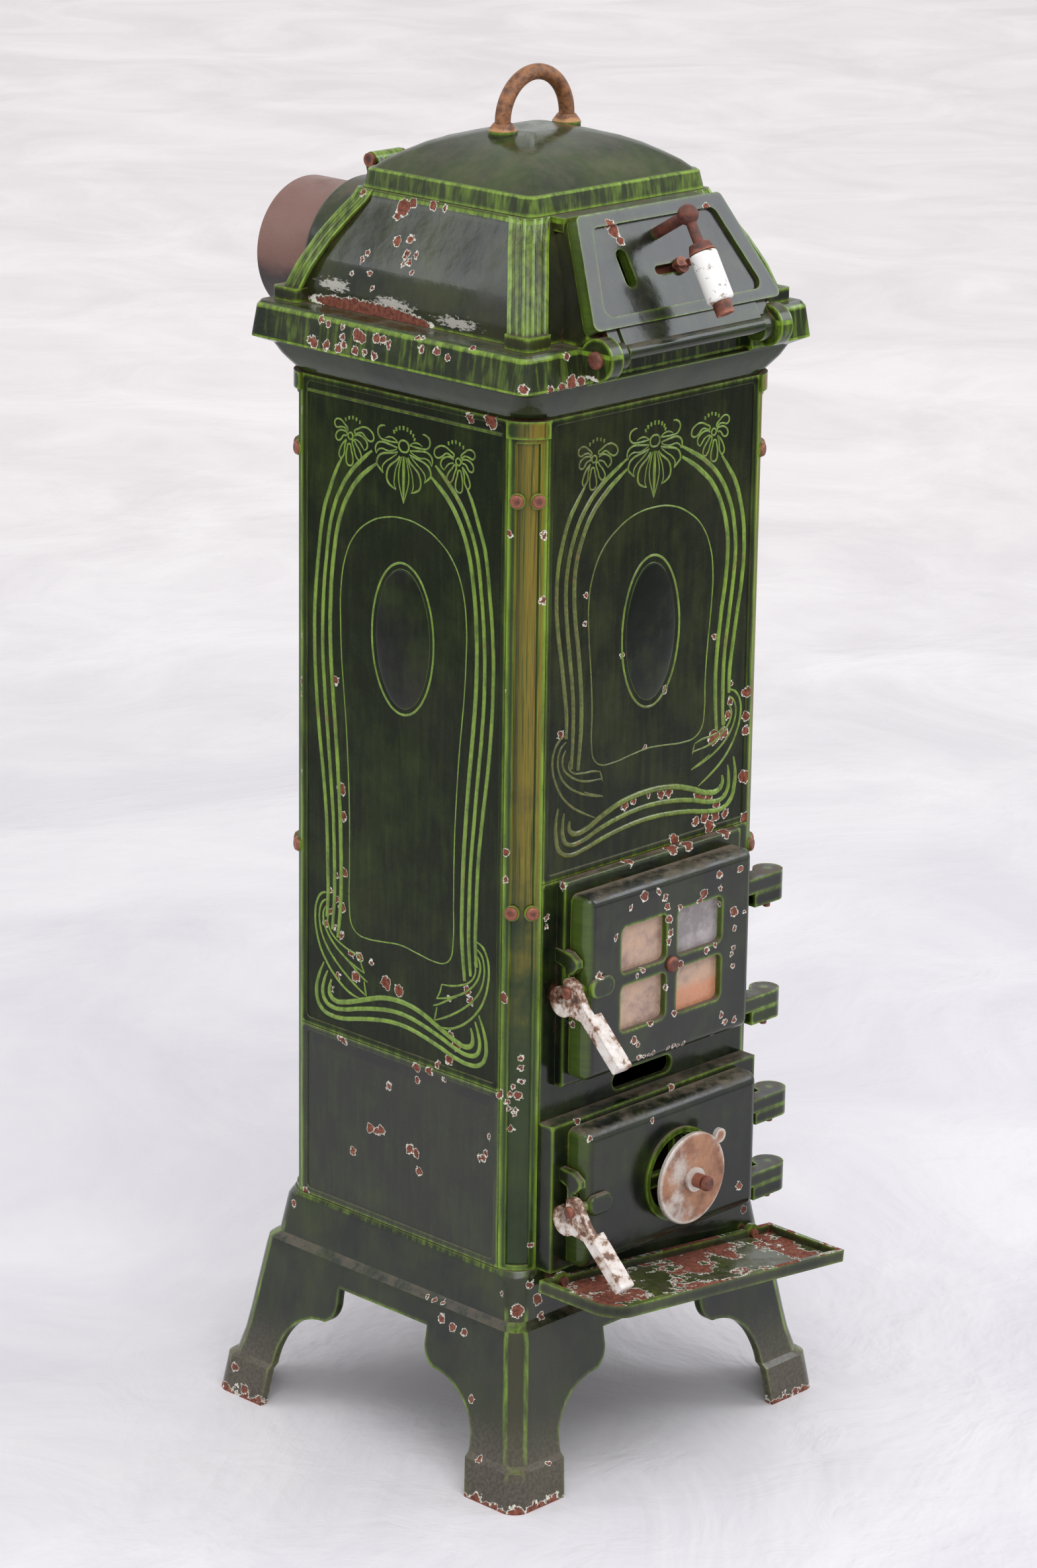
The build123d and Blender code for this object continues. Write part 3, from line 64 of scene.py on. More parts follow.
# places on the stove in mm; those along x and y are from the body's middle
BODY_Y = -14.0              # the body's middle in the row frame
SIDE_FACE = 153.4           # the side panels' fields
FRONT_FACE = 146.4          # the front panel's field
RAISED = 0.5                # the columns' borders stand this much before the fields
FOOT_TOP = 28.0
LEG_TOP = 166.0
BASE_RIM = 196.0            # the upright rim on the base starts here
STAIN_LOW = 430.0           # the columns' channels are stained from here up
STAIN_HIGH = 640.0
COLUMN_TOP = 940.0
CORNICE_BAND = (987.0, 1013.0)
HIP_LOW = 1029.0            # foot of the dome's fluted strips
HIP_HALF = 157.7            # half the dome's width there, along x
HIP_NARROWER = 9.6          # how much less it is along y
HIP_LEAN = 0.30             # how fast the half width draws in: the slope at the foot
HIP_CURVE = 0.0028          # and its gain with the height squared
HIP_STRIP = 24.0            # width of a strip on each face
DOME_LIP = 1111.5
LID_LOW = 1115.0            # underside of the lid's rim
PANE_MIDDLE = 458.0         # height of the mica panes' crossing
SIDE_OVAL_Z = 743.0
FRONT_OVAL_Z = 751.0
LATCH_PIVOTS = [(-122, -185, 459), (-129, -200, 264)]


# ---------------------------------------------------------------- shader maths
class Wire:
    """An output socket of a finish. Arithmetic on it adds Math nodes."""

    def __init__(self, finish, socket):
        self.finish = finish
        self.socket = socket

    def maths(self, operation, *values, clamp=False):
        settings = {"operation": operation, "use_clamp": clamp}
        return self.finish.node("ShaderNodeMath", settings, dict(enumerate(values)))

    def __add__(self, other):
        return self.maths("ADD", self, other)

    __radd__ = __add__

    def __sub__(self, other):
        return self.maths("SUBTRACT", self, other)

    def __rsub__(self, other):
        return self.maths("SUBTRACT", other, self)

    def __mul__(self, other):
        return self.maths("MULTIPLY", self, other)

    __rmul__ = __mul__

    def __truediv__(self, other):
        return self.maths("DIVIDE", self, other)

    def least(self, other):
        return self.maths("MINIMUM", self, other)

    def most(self, other):
        return self.maths("MAXIMUM", self, other)

    def size(self):
        return self.maths("ABSOLUTE", self)

    def clamped(self):
        return self.maths("MULTIPLY", self, 1.0, clamp=True)

    def step(self, low, high):
        """0 below low, 1 above high, smooth between; low above high turns it round."""
        sockets = {"Value": self, "From Min": min(low, high), "From Max": max(low, high)}
        mask = self.finish.node("ShaderNodeMapRange", {"interpolation_type": "SMOOTHSTEP"}, sockets)
        return 1 - mask if low > high else mask


class Finish:
    """One material, built round a Principled shader."""

    def __init__(self, name, **shader):
        self.material = bpy.data.materials.new(name)
        self.material.use_nodes = True
        self.tree = self.material.node_tree
        self.shader = self.tree.nodes["Principled BSDF"]
        for socket, value in shader.items():
            self.shader.inputs[socket.replace("_", " ")].default_value = value
        self.place = self.node("ShaderNodeTexCoord", {}, {}, "Object")

    def node(self, kind, settings, sockets, output=0):
        made = self.tree.nodes.new(kind)
        for key, value in settings.items():
            if key == "stops":
                ramp = made.color_ramp.elements
                while len(ramp) < len(value):
                    ramp.new(0.5)
                for element, (position, colour) in zip(ramp, value):
                    element.position = position
                    element.color = (*colour, 1.0)
            else:
                setattr(made, key, value)
        for key, value in sockets.items():
            self.join(made.inputs[key], value)
        return Wire(self, made.outputs[output])

    def join(self, socket, value):
        if isinstance(value, Wire):
            self.tree.links.new(value.socket, socket)
        elif isinstance(value, tuple) and len(value) == 3 and socket.type == "RGBA":
            socket.default_value = (*value, 1.0)
        else:
            socket.default_value = value

    def set(self, **sockets):
        for key, value in sockets.items():
            self.join(self.shader.inputs[key.replace("_", " ")], value)

    def noise(self, scale, detail=3.0, rough=0.55, where=None, output="Fac", distortion=0.0):
        sockets = {"Vector": where or self.place, "Scale": scale, "Detail": detail, "Roughness": rough,
                   "Distortion": distortion}
        return self.node("ShaderNodeTexNoise", {}, sockets, output)

    def cells(self, scale, where, output="Distance"):
        return self.node("ShaderNodeTexVoronoi", {}, {"Vector": where, "Scale": scale}, output)

    def mix(self, mask, first, second):
        return self.node("ShaderNodeMix", {"data_type": "RGBA"}, {"Factor": mask, 6: first, 7: second}, 2)

    def ramp(self, mask, *stops):
        return self.node("ShaderNodeValToRGB", {"stops": stops}, {"Fac": mask}, "Color")

    def vector(self, operation, first, second, output="Vector"):
        return self.node("ShaderNodeVectorMath", {"operation": operation}, {0: first, 1: second}, output)

    def stretched_noise(self, across, up, detail, rough=0.55):
        """Noise with one scale along x and y and another along z."""
        return self.noise(1.0, detail, rough, where=self.vector("MULTIPLY", self.place, (across, across, up)))

    def away(self, where, centre, reach):
        """How far a place is from a centre in mm: 1 at the reach in mm along each axis."""
        offset = self.vector("SUBTRACT", where, tuple(c * MM for c in centre))
        shrunk = self.vector("DIVIDE", offset, tuple(c * MM for c in reach))
        return self.node("ShaderNodeVectorMath", {"operation": "LENGTH"}, {0: shrunk}, "Value")

    def edges(self, reach):
        """1 towards outer edges and ridges, 0 on flats: how little metal lies behind the surface."""
        inward = {"inside": True, "only_local": True, "samples": 8}
        return 1 - self.node("ShaderNodeAmbientOcclusion", inward, {"Distance": reach}, "AO")

    def hollows(self, reach):
        """1 in corners and hollows, 0 in the open."""
        return 1 - self.node("ShaderNodeAmbientOcclusion", {"samples": 8}, {"Distance": reach}, "AO")

    def normal(self, axis):
        """How far the surface faces along X, Y or Z."""
        facing = self.node("ShaderNodeNewGeometry", {}, {}, "Normal")
        return self.node("ShaderNodeSeparateXYZ", {}, {"Vector": facing}, axis)

    def at(self, axis):
        """Place along X, Y or Z in mm."""
        return self.node("ShaderNodeSeparateXYZ", {}, {"Vector": self.place}, axis) * 1000

    def bumps(self, height, depth, strength=1.0):
        sockets = {"Height": height, "Distance": depth, "Strength": strength}
        self.set(Normal=self.node("ShaderNodeBump", {}, sockets))


# ---------------------------------------------------------------- colours and chips
RUST = (0.16, 0.043, 0.024)
RUST_DARK = (0.050, 0.019, 0.013)
RUST_PALE = (0.30, 0.105, 0.060)
GROUND_COAT = (0.76, 0.73, 0.63)
DUST = (0.125, 0.098, 0.066)
DARK = (0.0036, 0.0060, 0.0032)
OLIVE = (0.030, 0.045, 0.008)
PALE = (0.085, 0.145, 0.015)
BRIGHT = (0.20, 0.32, 0.032)


def side_chips(x, chips):
    """Chips on a face at x: each is y, z and radius in mm."""
    return [(x, y, z, size) for y, z, size in chips]


def front_chips(y, chips):
    """Chips on a face at y: each is x, z and radius in mm."""
    return [(x, y, z, size) for x, z, size in chips]


# the larger chips in the glaze, node by node: x, y, z and radius in mm where they aren't on one face
CHIPS = {
    "upper_left_panel": side_chips(-154, [
        (-22, 708, 3), (69, 689, 4), (61, 592, 5), (59, 568, 4), (57, 516, 3.5), (67, 511, 2),
        (75, 495, 2.5), (66, 489, 2), (60, 483, 4), (75, 476, 2.5), (80, 463, 3), (69, 462, 2),
        (61, 457, 3), (48, 443, 3), (38, 443, 4), (22, 441, 2), (4, 427, 6), (-12, 424, 5.5),
        (42, 423, 4.5), (65, 418, 3), (74, 403, 3), (-77, 400, 3), (-83, 391, 4), (-75, 377, 4.5),
        (-62, 369, 3), (-96, 446, 4), (-100, 438, 3.5), (-74, 433, 2), (-93, 950, 4), (-118, 952, 7),
    ]),
    "front_left_column": [
        (-155, -140, 859, 3), (-155, -133, 723, 5), (-155, -141, 582, 3.5), (-155, -134, 562, 3),
        (-155, -140, 557, 3), (-155, -140, 451, 4), (-155, -137, 363, 4), (-134, -162, 858, 3.5),
        (-134, -162, 803, 3.5), (-136, -160, 223, 2.4), (-154, -139, 453, 2.7), (-154, -140, 449, 2.4),
        (-143, -152, 397, 2.1), (-143, -152, 387, 2.4), (-143, -153, 375, 2), (-148, -147, 370, 1.5),
        (-150, -145, 363, 2.1), (-151, -144, 356, 2), (-150, -145, 350, 1.5), (-145, -151, 362, 3.9),
        (-146, -149, 349, 1.7), (-147, -148, 345, 1.4), (-149, -146, 331, 2.1),
    ],
    "rear_left_column": side_chips(-155, [
        (106, 922, 5), (100, 640, 5), (100, 632, 5), (106, 596, 4), (107, 722, 4), (108, 680, 4),
        (107, 668, 4),
    ]),
    "front_upper_panel": front_chips(-161, [
        (-82, 798, 2), (-82, 772, 2), (-35, 737, 2), (82, 731, 2), (20, 695, 3), (105, 684, 2.5),
        (-4, 648, 2), (-110, 681, 3), (85, 639, 7), (98, 640, 5), (103, 655, 4), (105, 668, 3),
        (-28, 601, 4), (-17, 603, 3), (2, 603, 2), (18, 601, 4), (28, 600, 4), (65, 589, 4), (72, 587, 4),
        (81, 585, 4), (91, 576, 4), (64, 566, 4), (76, 567, 5), (90, 566, 5), (102, 565, 4), (126, 672, 5),
        (126, 650, 4), (126, 637, 4), (126, 594, 6),
    ]) + front_chips(-162, [
        (127, 556, 5), (81, 558, 5.6), (35, 556, 5.5),
    ]),
    "upper_door": front_chips(-194, [
        (-37, 529, 4.3), (-19, 528, 2.4), (-10, 521, 2.8), (-7, 512, 2.8), (-4, 500, 3.6), (-2, 487, 3.2),
        (-4, 479, 2.4), (9, 508, 2.4), (39, 513, 4.4), (35, 507, 3.2), (60, 526, 3.2), (61, 513, 1.6),
        (87, 525, 2.8), (80, 487, 4.2), (82, 472, 2), (81, 454, 1.8), (78, 448, 1.8), (80, 437, 2),
        (94, 484, 1.4), (-54, 522, 1.4), (-72, 500, 2.5), (-92, 469, 3.1), (-80, 458, 1.6), (-37, 461, 2.4),
        (-44, 458, 2.2), (-7, 438, 2), (5, 411, 2.8), (12, 455, 3), (45, 460, 3), (56, 462, 2),
        (-46, 399, 3.4), (-41, 394, 1.8), (-25, 410, 3), (-39, 381, 2.2), (-33, 380, 1.8), (-26, 380, 1.8),
        (-2, 381, 1.6), (5, 380, 1.4), (67, 394, 2.4), (72, 386, 2.4), (84, 385, 2.6),
    ]) + front_chips(-193, [
        (-20, 380, 1.8), (11, 380, 1.8), (18, 379, 1.8),
    ]) + [
        (64, -189, 498, 1.8), (59, -190, 375, 2), (-105, -176, 424, 2.9),
    ],
    "dome": [
        (-114, 78, 1111, 2.6), (-115, 27, 1105, 7.4), (-118, 31, 1098, 4), (-113, 18, 1110, 3.7),
        (-113, -6, 1111, 4.4), (-113, -20, 1111, 2.6), (-130, 20, 1079, 4.6), (-127, 6, 1083, 3.8),
        (-136, 49, 1066, 2.4), (-140, 52, 1060, 2), (-144, 60, 1048, 1.8), (-143, 39, 1051, 2.4),
        (-147, 31, 1040, 2.2), (-134, 4, 1072, 2.6), (-135, 5, 1068, 2.4), (-137, -2, 1065, 2.6),
        (-138, 4, 1063, 1.8), (-133, -7, 1072, 2.4), (-141, -9, 1058, 1.6),
    ],
    "cornice": [
        (-176, 63, 1012, 2.9), (-177, 54, 1010, 2.8), (-177, 37, 1010, 2), (-178, 36, 1002, 2.7),
        (-179, 69, 992, 4.8), (-179, 75, 993, 2.8), (-179, 54, 992, 4), (-179, 39, 992, 3.7),
        (-179, 33, 996, 2.4), (-177, 18, 1006, 5.3), (-178, 12, 1004, 4), (-179, 19, 993, 3.5),
        (-179, 7, 993, 2.4), (-177, -4, 1007, 3.8), (-177, -12, 1007, 3.4), (-179, -4, 992, 3.1),
        (-177, -19, 1005, 2.2), (-178, -20, 1002, 1.8), (-175, -51, 1014, 1.8), (-177, -58, 1006, 2.5),
        (-175, -57, 1015, 1.6), (-177, -76, 1007, 3.4), (-178, -89, 1004, 2.7), (-174, -115, 1016, 2.7),
        (-177, -176, 991, 3.9), (-149, -180, 987, 3.5), (-128, -177, 1012, 3), (-124, -180, 990, 6.1),
        (-113, -180, 989, 4.3), (-136, -180, 987, 3.9),
    ],
    "base_casting": [
        (137, -166, 181, 3.3), (-167, -64, 154, 1.9), (-166, -73, 154, 1.9), (-166, -83, 154, 1.9),
        (-171, -86, 142, 3.7), (-172, -101, 138, 3.7), (-172, -115, 138, 3.1), (-181, -134, 83, 3.1),
        (-155, -163, 168, 5.6), (-134, -167, 174, 4.9), (-141, -165, 189, 3.1), (-159, -148, 181, 1.9),
        (-200, -159, 1, 6.2), (-200, -181, 1, 5), (-196, -201, 1, 5), (-193, -156, 37, 3.1),
        (-153, -202, 35, 2.5), (-196, 155, 25, 3.9), (-199, 140, 9, 4.6), (-199, 120, 5, 3.9),
        (170, -207, 3, 3.3), (154, -207, 1, 3.3), (-158, 117, 187, 2.6), (-132, -169, 158, 3.1),
    ],
    "lower_left_panel": side_chips(-153, [
        (0, 332, 3.4), (-36, 347, 2.3), (-69, 357, 1.8), (23, 285, 4.2), (9, 287, 4), (45, 257, 3.4),
        (-27, 280, 4.6), (-35, 278, 3.7), (-114, 296, 2.4), (-121, 302, 2.4), (-124, 319, 1.4),
        (15, 285, 3.1), (-39, 262, 3.7), (-118, 297, 2.5),
    ]) + side_chips(-155, [
        (-36, 359, 4.3), (-52, 360, 3.4), (56, 359, 3.7), (61, 360, 2.5), (-137, 361, 2.7), (105, 201, 3.8),
    ]),
    "lower_door": [
        (-106, -200, 326, 2.4), (-29, -202, 322, 1.8), (88, -202, 228, 3.4), (100, -198, 222, 3),
    ],
    "door_frame": [
        (-112, -168, 549, 3.1), (-125, -162, 522, 2.5), (-125, -162, 514, 1.9), (-30, -166, 551, 5),
        (25, -166, 551, 7), (44, -168, 551, 6), (93, -167, 551, 6), (-100, -179, 334, 3),
        (20, -179, 334, 3),
    ],
    "filling_flap": [
        (-48, -153, 1102, 6), (-53, -153, 1109, 4.5), (-45, -157, 1094, 4), (65, -153, 1109, 3.4),
    ],
}


def rust_colour(finish):
    grain = finish.noise(260.0, 5.0, 0.65)
    return finish.ramp(grain, (0.30, RUST_DARK), (0.46, RUST), (0.72, RUST_PALE))


def chip_field(finish, freckle, spots=(), scars=()):
    """Distance in mm to the edge of the nearest chip, below zero in a chip.

    freckle is the share of small scattered chips, spots are round ones and scars long ones.
    """
    wander = finish.vector("SUBTRACT", finish.noise(230.0, 3.0, 0.6, output="Color"), (0.5, 0.5, 0.5))
    ragged = finish.vector("ADD", finish.place, finish.vector("MULTIPLY", wander, (0.0085, 0.0085, 0.0085)))
    pitch = 30.0
    cell = finish.cells(pitch, ragged)
    odds = finish.node("ShaderNodeSeparateColor", {}, {"Color": finish.cells(pitch, ragged, "Color")}, "Red")
    field = (cell - (odds - 1 + freckle) * 1.4) * (1000 / pitch)
    for x, y, z, size in spots:
        gap = finish.vector("DISTANCE", ragged, (x * MM, y * MM, z * MM), "Value")
        field = field.least(gap * 1000 - size * 0.92)
    for centre, reach in scars:
        field = field.least((finish.away(ragged, centre, reach) - 1) * min(reach))
    return field


# ---------------------------------------------------------------- glaze
class Glaze(Finish):
    """Dark green enamel. Each method lays one more coat over colour; lip masks the lime on thin edges."""

    def __init__(self, name, ior):
        super().__init__(name, IOR=ior)
        self.level = self.at("Z")
        self.thin = self.edges(0.0046)
        self.corner = self.hollows(0.009)
        self.runs = self.stretched_noise(170.0, 20.0, 4.0)
        self.cloud = self.noise(17.0, 4.0, 0.6)
        self.mottle = self.noise(330.0, 3.0)
        self.lime = self.ramp(self.runs + (self.mottle - 0.5) * 0.25, (0.30, PALE), (0.62, BRIGHT))

    def coat(self, mask, colour):
        self.colour = self.mix(mask, self.colour, colour)

    def flats(self, deep, olive, cast):
        """Deep green with clouds of olive."""
        clouds = (self.cloud - 0.5) * 2.4 + cast + (self.runs - 0.5) * 0.6
        self.colour = self.mix(clouds.clamped(), deep, olive)

    def flanks(self, amount):
        """Pale green on faces turned sideways."""
        turned = self.normal("X").size().step(0.25, 0.75) * amount
        bands = self.stretched_noise(30.0, 300.0, 3.0)
        self.coat(turned * (bands * 0.8 + 0.35).clamped(), PALE)

    def skirt(self, low, high, amount):
        """Lime runs on an upright band between two heights."""
        upright = self.normal("Z").size().step(0.75, 0.35)
        band = self.level.step(low - 1, low + 1) * self.level.step(high + 1, high - 1) * upright
        streaks = (self.runs - 0.5) * 2.4 + (self.cloud - 0.5) * 1.2 + amount
        self.coat(band * streaks.clamped() * 0.8, self.lime)

    def hips(self):
        """Lime on the fluted strips down the dome's four hips, whose faces draw in as they rise."""
        rise = self.level - HIP_LOW
        half = HIP_HALF - rise * HIP_LEAN - rise * rise * HIP_CURVE
        across = self.at("X").size() - half + HIP_STRIP
        along = (self.at("Y") - BODY_Y).size() - half + HIP_NARROWER + HIP_STRIP
        strips = across.step(-0.5, 1.0) * along.step(-0.5, 1.0) * rise.step(-2.0, 2.0)
        groove = self.hollows(0.005).step(0.06, 0.30)
        self.coat(strips * (self.runs * 1.3 - 0.05 - groove * 0.6).clamped(), self.lime)

    def dull_film(self, grime):
        self.film = (self.noise(9.0, 5.0, 0.62) + (self.mottle - 0.5) * 0.15).step(0.50, 0.72)
        self.coat(self.film * 0.45 * grime, (0.030, 0.026, 0.020))

    def thin_edges(self, olive, keen, strength):
        """Olive towards the edges, and the mask of the lime along them."""
        self.coat(self.thin.step(0.02, 0.34) * 0.8, olive)
        self.lip = (self.thin + (self.runs - 0.5) * 0.24).step(0.20 - keen, 0.46 - keen)
        if strength < 1:
            self.lip = self.lip * ((self.cloud - 0.5) * 3.0 + strength).clamped()

    def lime_line(self, place, half):
        offset = (self.level + (self.runs - 0.5) * 1.5 - place).size()
        self.lip = self.lip.most(offset.step(half, half * 0.45) * (self.runs * 1.5 + 0.1).clamped())

    def leg_corners(self):
        """A stain down each leg's corner, between two lime lines."""
        turn = self.normal("X").size().least(self.normal("Y").size())
        leg = self.level.step(LEG_TOP + 6, LEG_TOP - 6) * self.level.step(FOOT_TOP - 2, FOOT_TOP + 2)
        self.coat(turn.step(0.30, 0.45) * leg * 0.6, (0.045, 0.040, 0.015))
        lines = turn.step(0.10, 0.22) * turn.step(0.42, 0.30) * leg
        self.lip = self.lip.most(lines * (self.runs * 1.2).clamped())

    def column_strips(self):
        """Lime borders down a corner column, and the stained channel between them."""
        across = self.at("X").size()
        along = (self.at("Y") - BODY_Y).size()
        side = SIDE_FACE + RAISED
        front = FRONT_FACE + RAISED
        sides = self.normal("X").size().step(0.75, 0.95) * across.step(side - 0.7, side + 0.7)
        fronts = self.normal("Y").size().step(0.75, 0.95) * along.step(front - 0.7, front + 0.7)
        border = fronts.most(sides) * self.level.step(COLUMN_TOP + 2, COLUMN_TOP - 2)
        streak = self.stretched_noise(420.0, 9.0, 5.0, 0.6)
        stain = self.ramp(streak, (0.36, (0.050, 0.060, 0.008)), (0.5, (0.22, 0.170, 0.012)),
                          (0.68, (0.11, 0.050, 0.014)))
        upper = (self.level + (self.cloud - 0.5) * 500).step(STAIN_LOW, STAIN_HIGH)
        self.coat((1 - border) * upper * self.normal("Y").step(-0.35, -0.8) * 0.92, stain)
        self.lip = self.lip.most(border * (self.runs * 0.9 + 0.45).clamped())

    def corner_shade_and_dirt(self, grime, dust):
        """Painted shade: black in the corners and hollows. Also dust on the ledges and rust seeping from the
        joints.
        """
        # painted shade: corners and hollows darkened towards black
        self.coat(self.corner.step(0.40, 0.85) * 0.8, (0.012, 0.010, 0.006))
        self.up = self.normal("Z").step(0.4, 0.9)
        self.dust = (self.noise(38.0, 6.0, 0.7) + self.corner * 0.35).step(0.38, 0.74) * self.up * dust
        self.seep = (self.corner * self.noise(60.0, 4.0) * 2.0).step(0.48, 0.85) * 0.7 * grime
        self.coat((self.dust * 0.7).clamped(), DUST)
        brown = self.ramp(self.mottle, (0.4, (0.05, 0.022, 0.012)), (0.65, (0.17, 0.065, 0.03)))
        self.coat(self.seep, brown)

    def scuff(self, centre, size):
        """A patch scratched down to the ground coat."""
        scratch = self.stretched_noise(160.0, 420.0, 6.0, 0.7)
        worn = (scratch - self.away(self.place, centre, size) * 0.32).step(0.24, 0.32)
        self.coat(worn * 0.8, (0.50, 0.48, 0.42))

    def muddy_feet(self):
        mud = (self.level + (self.cloud - 0.5) * 60).step(95.0, 25.0)
        clay = self.ramp(self.mottle, (0.4, (0.085, 0.066, 0.045)), (0.6, (0.14, 0.115, 0.088)))
        self.coat(mud * 0.6, clay)

    def chips(self, chip):
        """Rust in the chips and a pale rim of ground coat round them."""
        self.bare = chip.step(0.2, -0.2)
        self.rim = chip.step(1.15, 0.75) * chip.step(0.0, 0.25)
        self.coat(self.rim, GROUND_COAT)
        self.coat(self.bare, rust_colour(self))

    def surface(self, rough, chip):
        shine = self.noise(12.0, 3.0) * 0.08 + rough + self.noise(420.0, 2.0) * 0.05 + self.film * 0.12
        dull = shine + self.dust * 0.45 + self.seep * 0.4 + self.bare * 0.65 + self.rim * 0.3
        self.set(Base_Color=self.colour, Roughness=dull.clamped())
        wave = self.noise(15.0, 2.0) * 0.8 + self.noise(95.0, 2.0) * 0.10 + self.noise(800.0, 2.0) * 0.015
        self.bumps(wave - chip.step(0.9, -0.1) * 0.35 + self.dust * 0.05, 0.0016)


def enamel(name, deep=DARK, olive=OLIVE, cast=0.25, flank=0.0, skirt=None, lines=(), keen=0.0, lip=1.0,
           strips=False, hips=False, legs=False, grime=1.0, dust=1.0, scuffs=(), spots=(), scars=(),
           freckle=0.02, rusty=0.0, rough=0.08, ior=1.42):
    """Dark green glaze: deep on the flats, olive over curves, lime where it runs thin, chipped to rust.

    cast is how much olive shows on the flats and flank how much pale green on faces turned sideways. skirt is
    a greener band, given by its two heights and its strength, and lines are lime lines, each a height and a
    half width. keen brings out blunt edges too, lip is the strength of the edge lines and rusty the share of
    the upward faces that has rusted through. strips is for the corner columns, hips for the dome and legs for
    the base.
    """
    glaze = Glaze(name, ior)
    glaze.flats(deep, olive, cast)
    if flank:
        glaze.flanks(flank)
    if skirt:
        glaze.skirt(*skirt)
    if hips:
        glaze.hips()
    glaze.dull_film(grime)
    glaze.thin_edges(olive, keen, lip)
    for place, half in lines:
        glaze.lime_line(place, half)
    if legs:
        glaze.leg_corners()
    if strips:
        glaze.column_strips()
    glaze.coat(glaze.lip, glaze.lime)
    # painted shade in the corners, then real dust and seeping rust
    glaze.corner_shade_and_dirt(grime, dust)
    for centre, size in scuffs:
        glaze.scuff(centre, size)
    chip = chip_field(glaze, freckle, spots, scars)
    if rusty:
        chip = chip.least((1 - glaze.up * rusty - glaze.noise(24.0, 6.0, 0.68)) * 40 + 6)
    if legs:
        glaze.muddy_feet()
        chip = chip.least(glaze.level * 0.45 - (glaze.noise(90.0, 4.0, 0.6) - 0.42) * 16.0)
    glaze.chips(chip)
    glaze.surface(rough, chip)
    return glaze.material


def ridge(name, axis, dull=0.0):
    """Cast ornament: lime along the crests that face along the axis, dark down their flanks.

    dull is how far they turn tan towards -x and the foot.
    """
    finish = Finish(name, IOR=1.52)
    runs = finish.stretched_noise(150.0, 40.0, 4.0)
    mottle = finish.noise(300.0, 4.0)
    crest = (finish.normal(axis).size() + (runs - 0.5) * 0.5).step(0.38, 0.86)
    lime = finish.ramp(runs * 0.6 + mottle * 0.4, (0.34, PALE), (0.60, BRIGHT))
    if dull:
        cloud = finish.noise(14.0, 4.0, 0.6)
        foot = finish.at("Z").step(FRONT_OVAL_Z + 9, FRONT_OVAL_Z - 91)
        side = finish.at("X") * -0.006 + foot * 0.5 + (cloud - 0.5) * 2.2 + 0.25
        tan = finish.ramp(mottle, (0.4, (0.050, 0.055, 0.012)), (0.6, (0.11, 0.095, 0.020)))
        lime = finish.mix(side.clamped() * dull, lime, tan)
    colour = finish.mix(crest, (0.018, 0.034, 0.007), lime)
    worn = finish.noise(36.0, 4.0).step(0.60, 0.70) * mottle.step(0.45, 0.6)
    colour = finish.mix(worn * 0.7, colour, (0.16, 0.085, 0.03))
    chip = chip_field(finish, 0.03)
    colour = finish.mix(chip.step(1.0, 0.6), colour, GROUND_COAT)
    colour = finish.mix(chip.step(0.1, -0.3), colour, rust_colour(finish))
    finish.set(Base_Color=colour, Roughness=mottle * 0.12 + 0.08)
    finish.bumps(runs * 0.5 + mottle * 0.15, 0.0008)
    return finish.material


def iron(name, low, high, worn, scale=150.0, gloss=0.55, metal=0.4, rub_more=0.0, under=None):
    """Bare iron: rust over dark skin, rubbed bright where hands and tools meet it.

    under is the colour of the painted shade on faces turned down.
    """
    finish = Finish(name, IOR=1.5)
    patches = finish.noise(scale, 6.0, 0.62)
    colour = finish.ramp(patches, (0.36, low), (0.62, high))
    rub = finish.edges(0.004) * 0.9 + (finish.noise(scale * 0.6, 5.0, 0.6) - 0.5) * 1.6 + rub_more
    rub = rub.step(0.2, 0.55)
    colour = finish.mix(rub, colour, worn)
    speckle = finish.noise(1100.0, 3.0)
    colour = finish.mix(speckle.step(0.6, 0.75) * 0.5, colour, RUST_DARK)
    # painted shade: faces turned down darkened to the under colour
    if under:
        shade = (finish.normal("Z") + (patches - 0.5) * 0.6).step(0.05, -0.35)
        colour = finish.mix(shade, colour, under)
    dull = gloss + (patches - 0.5) * 0.5 - rub * 0.2
    finish.set(Base_Color=colour, Metallic=rub * metal, Roughness=dull.clamped())
    finish.bumps(patches + speckle * 0.4, 0.0009)
    return finish.material


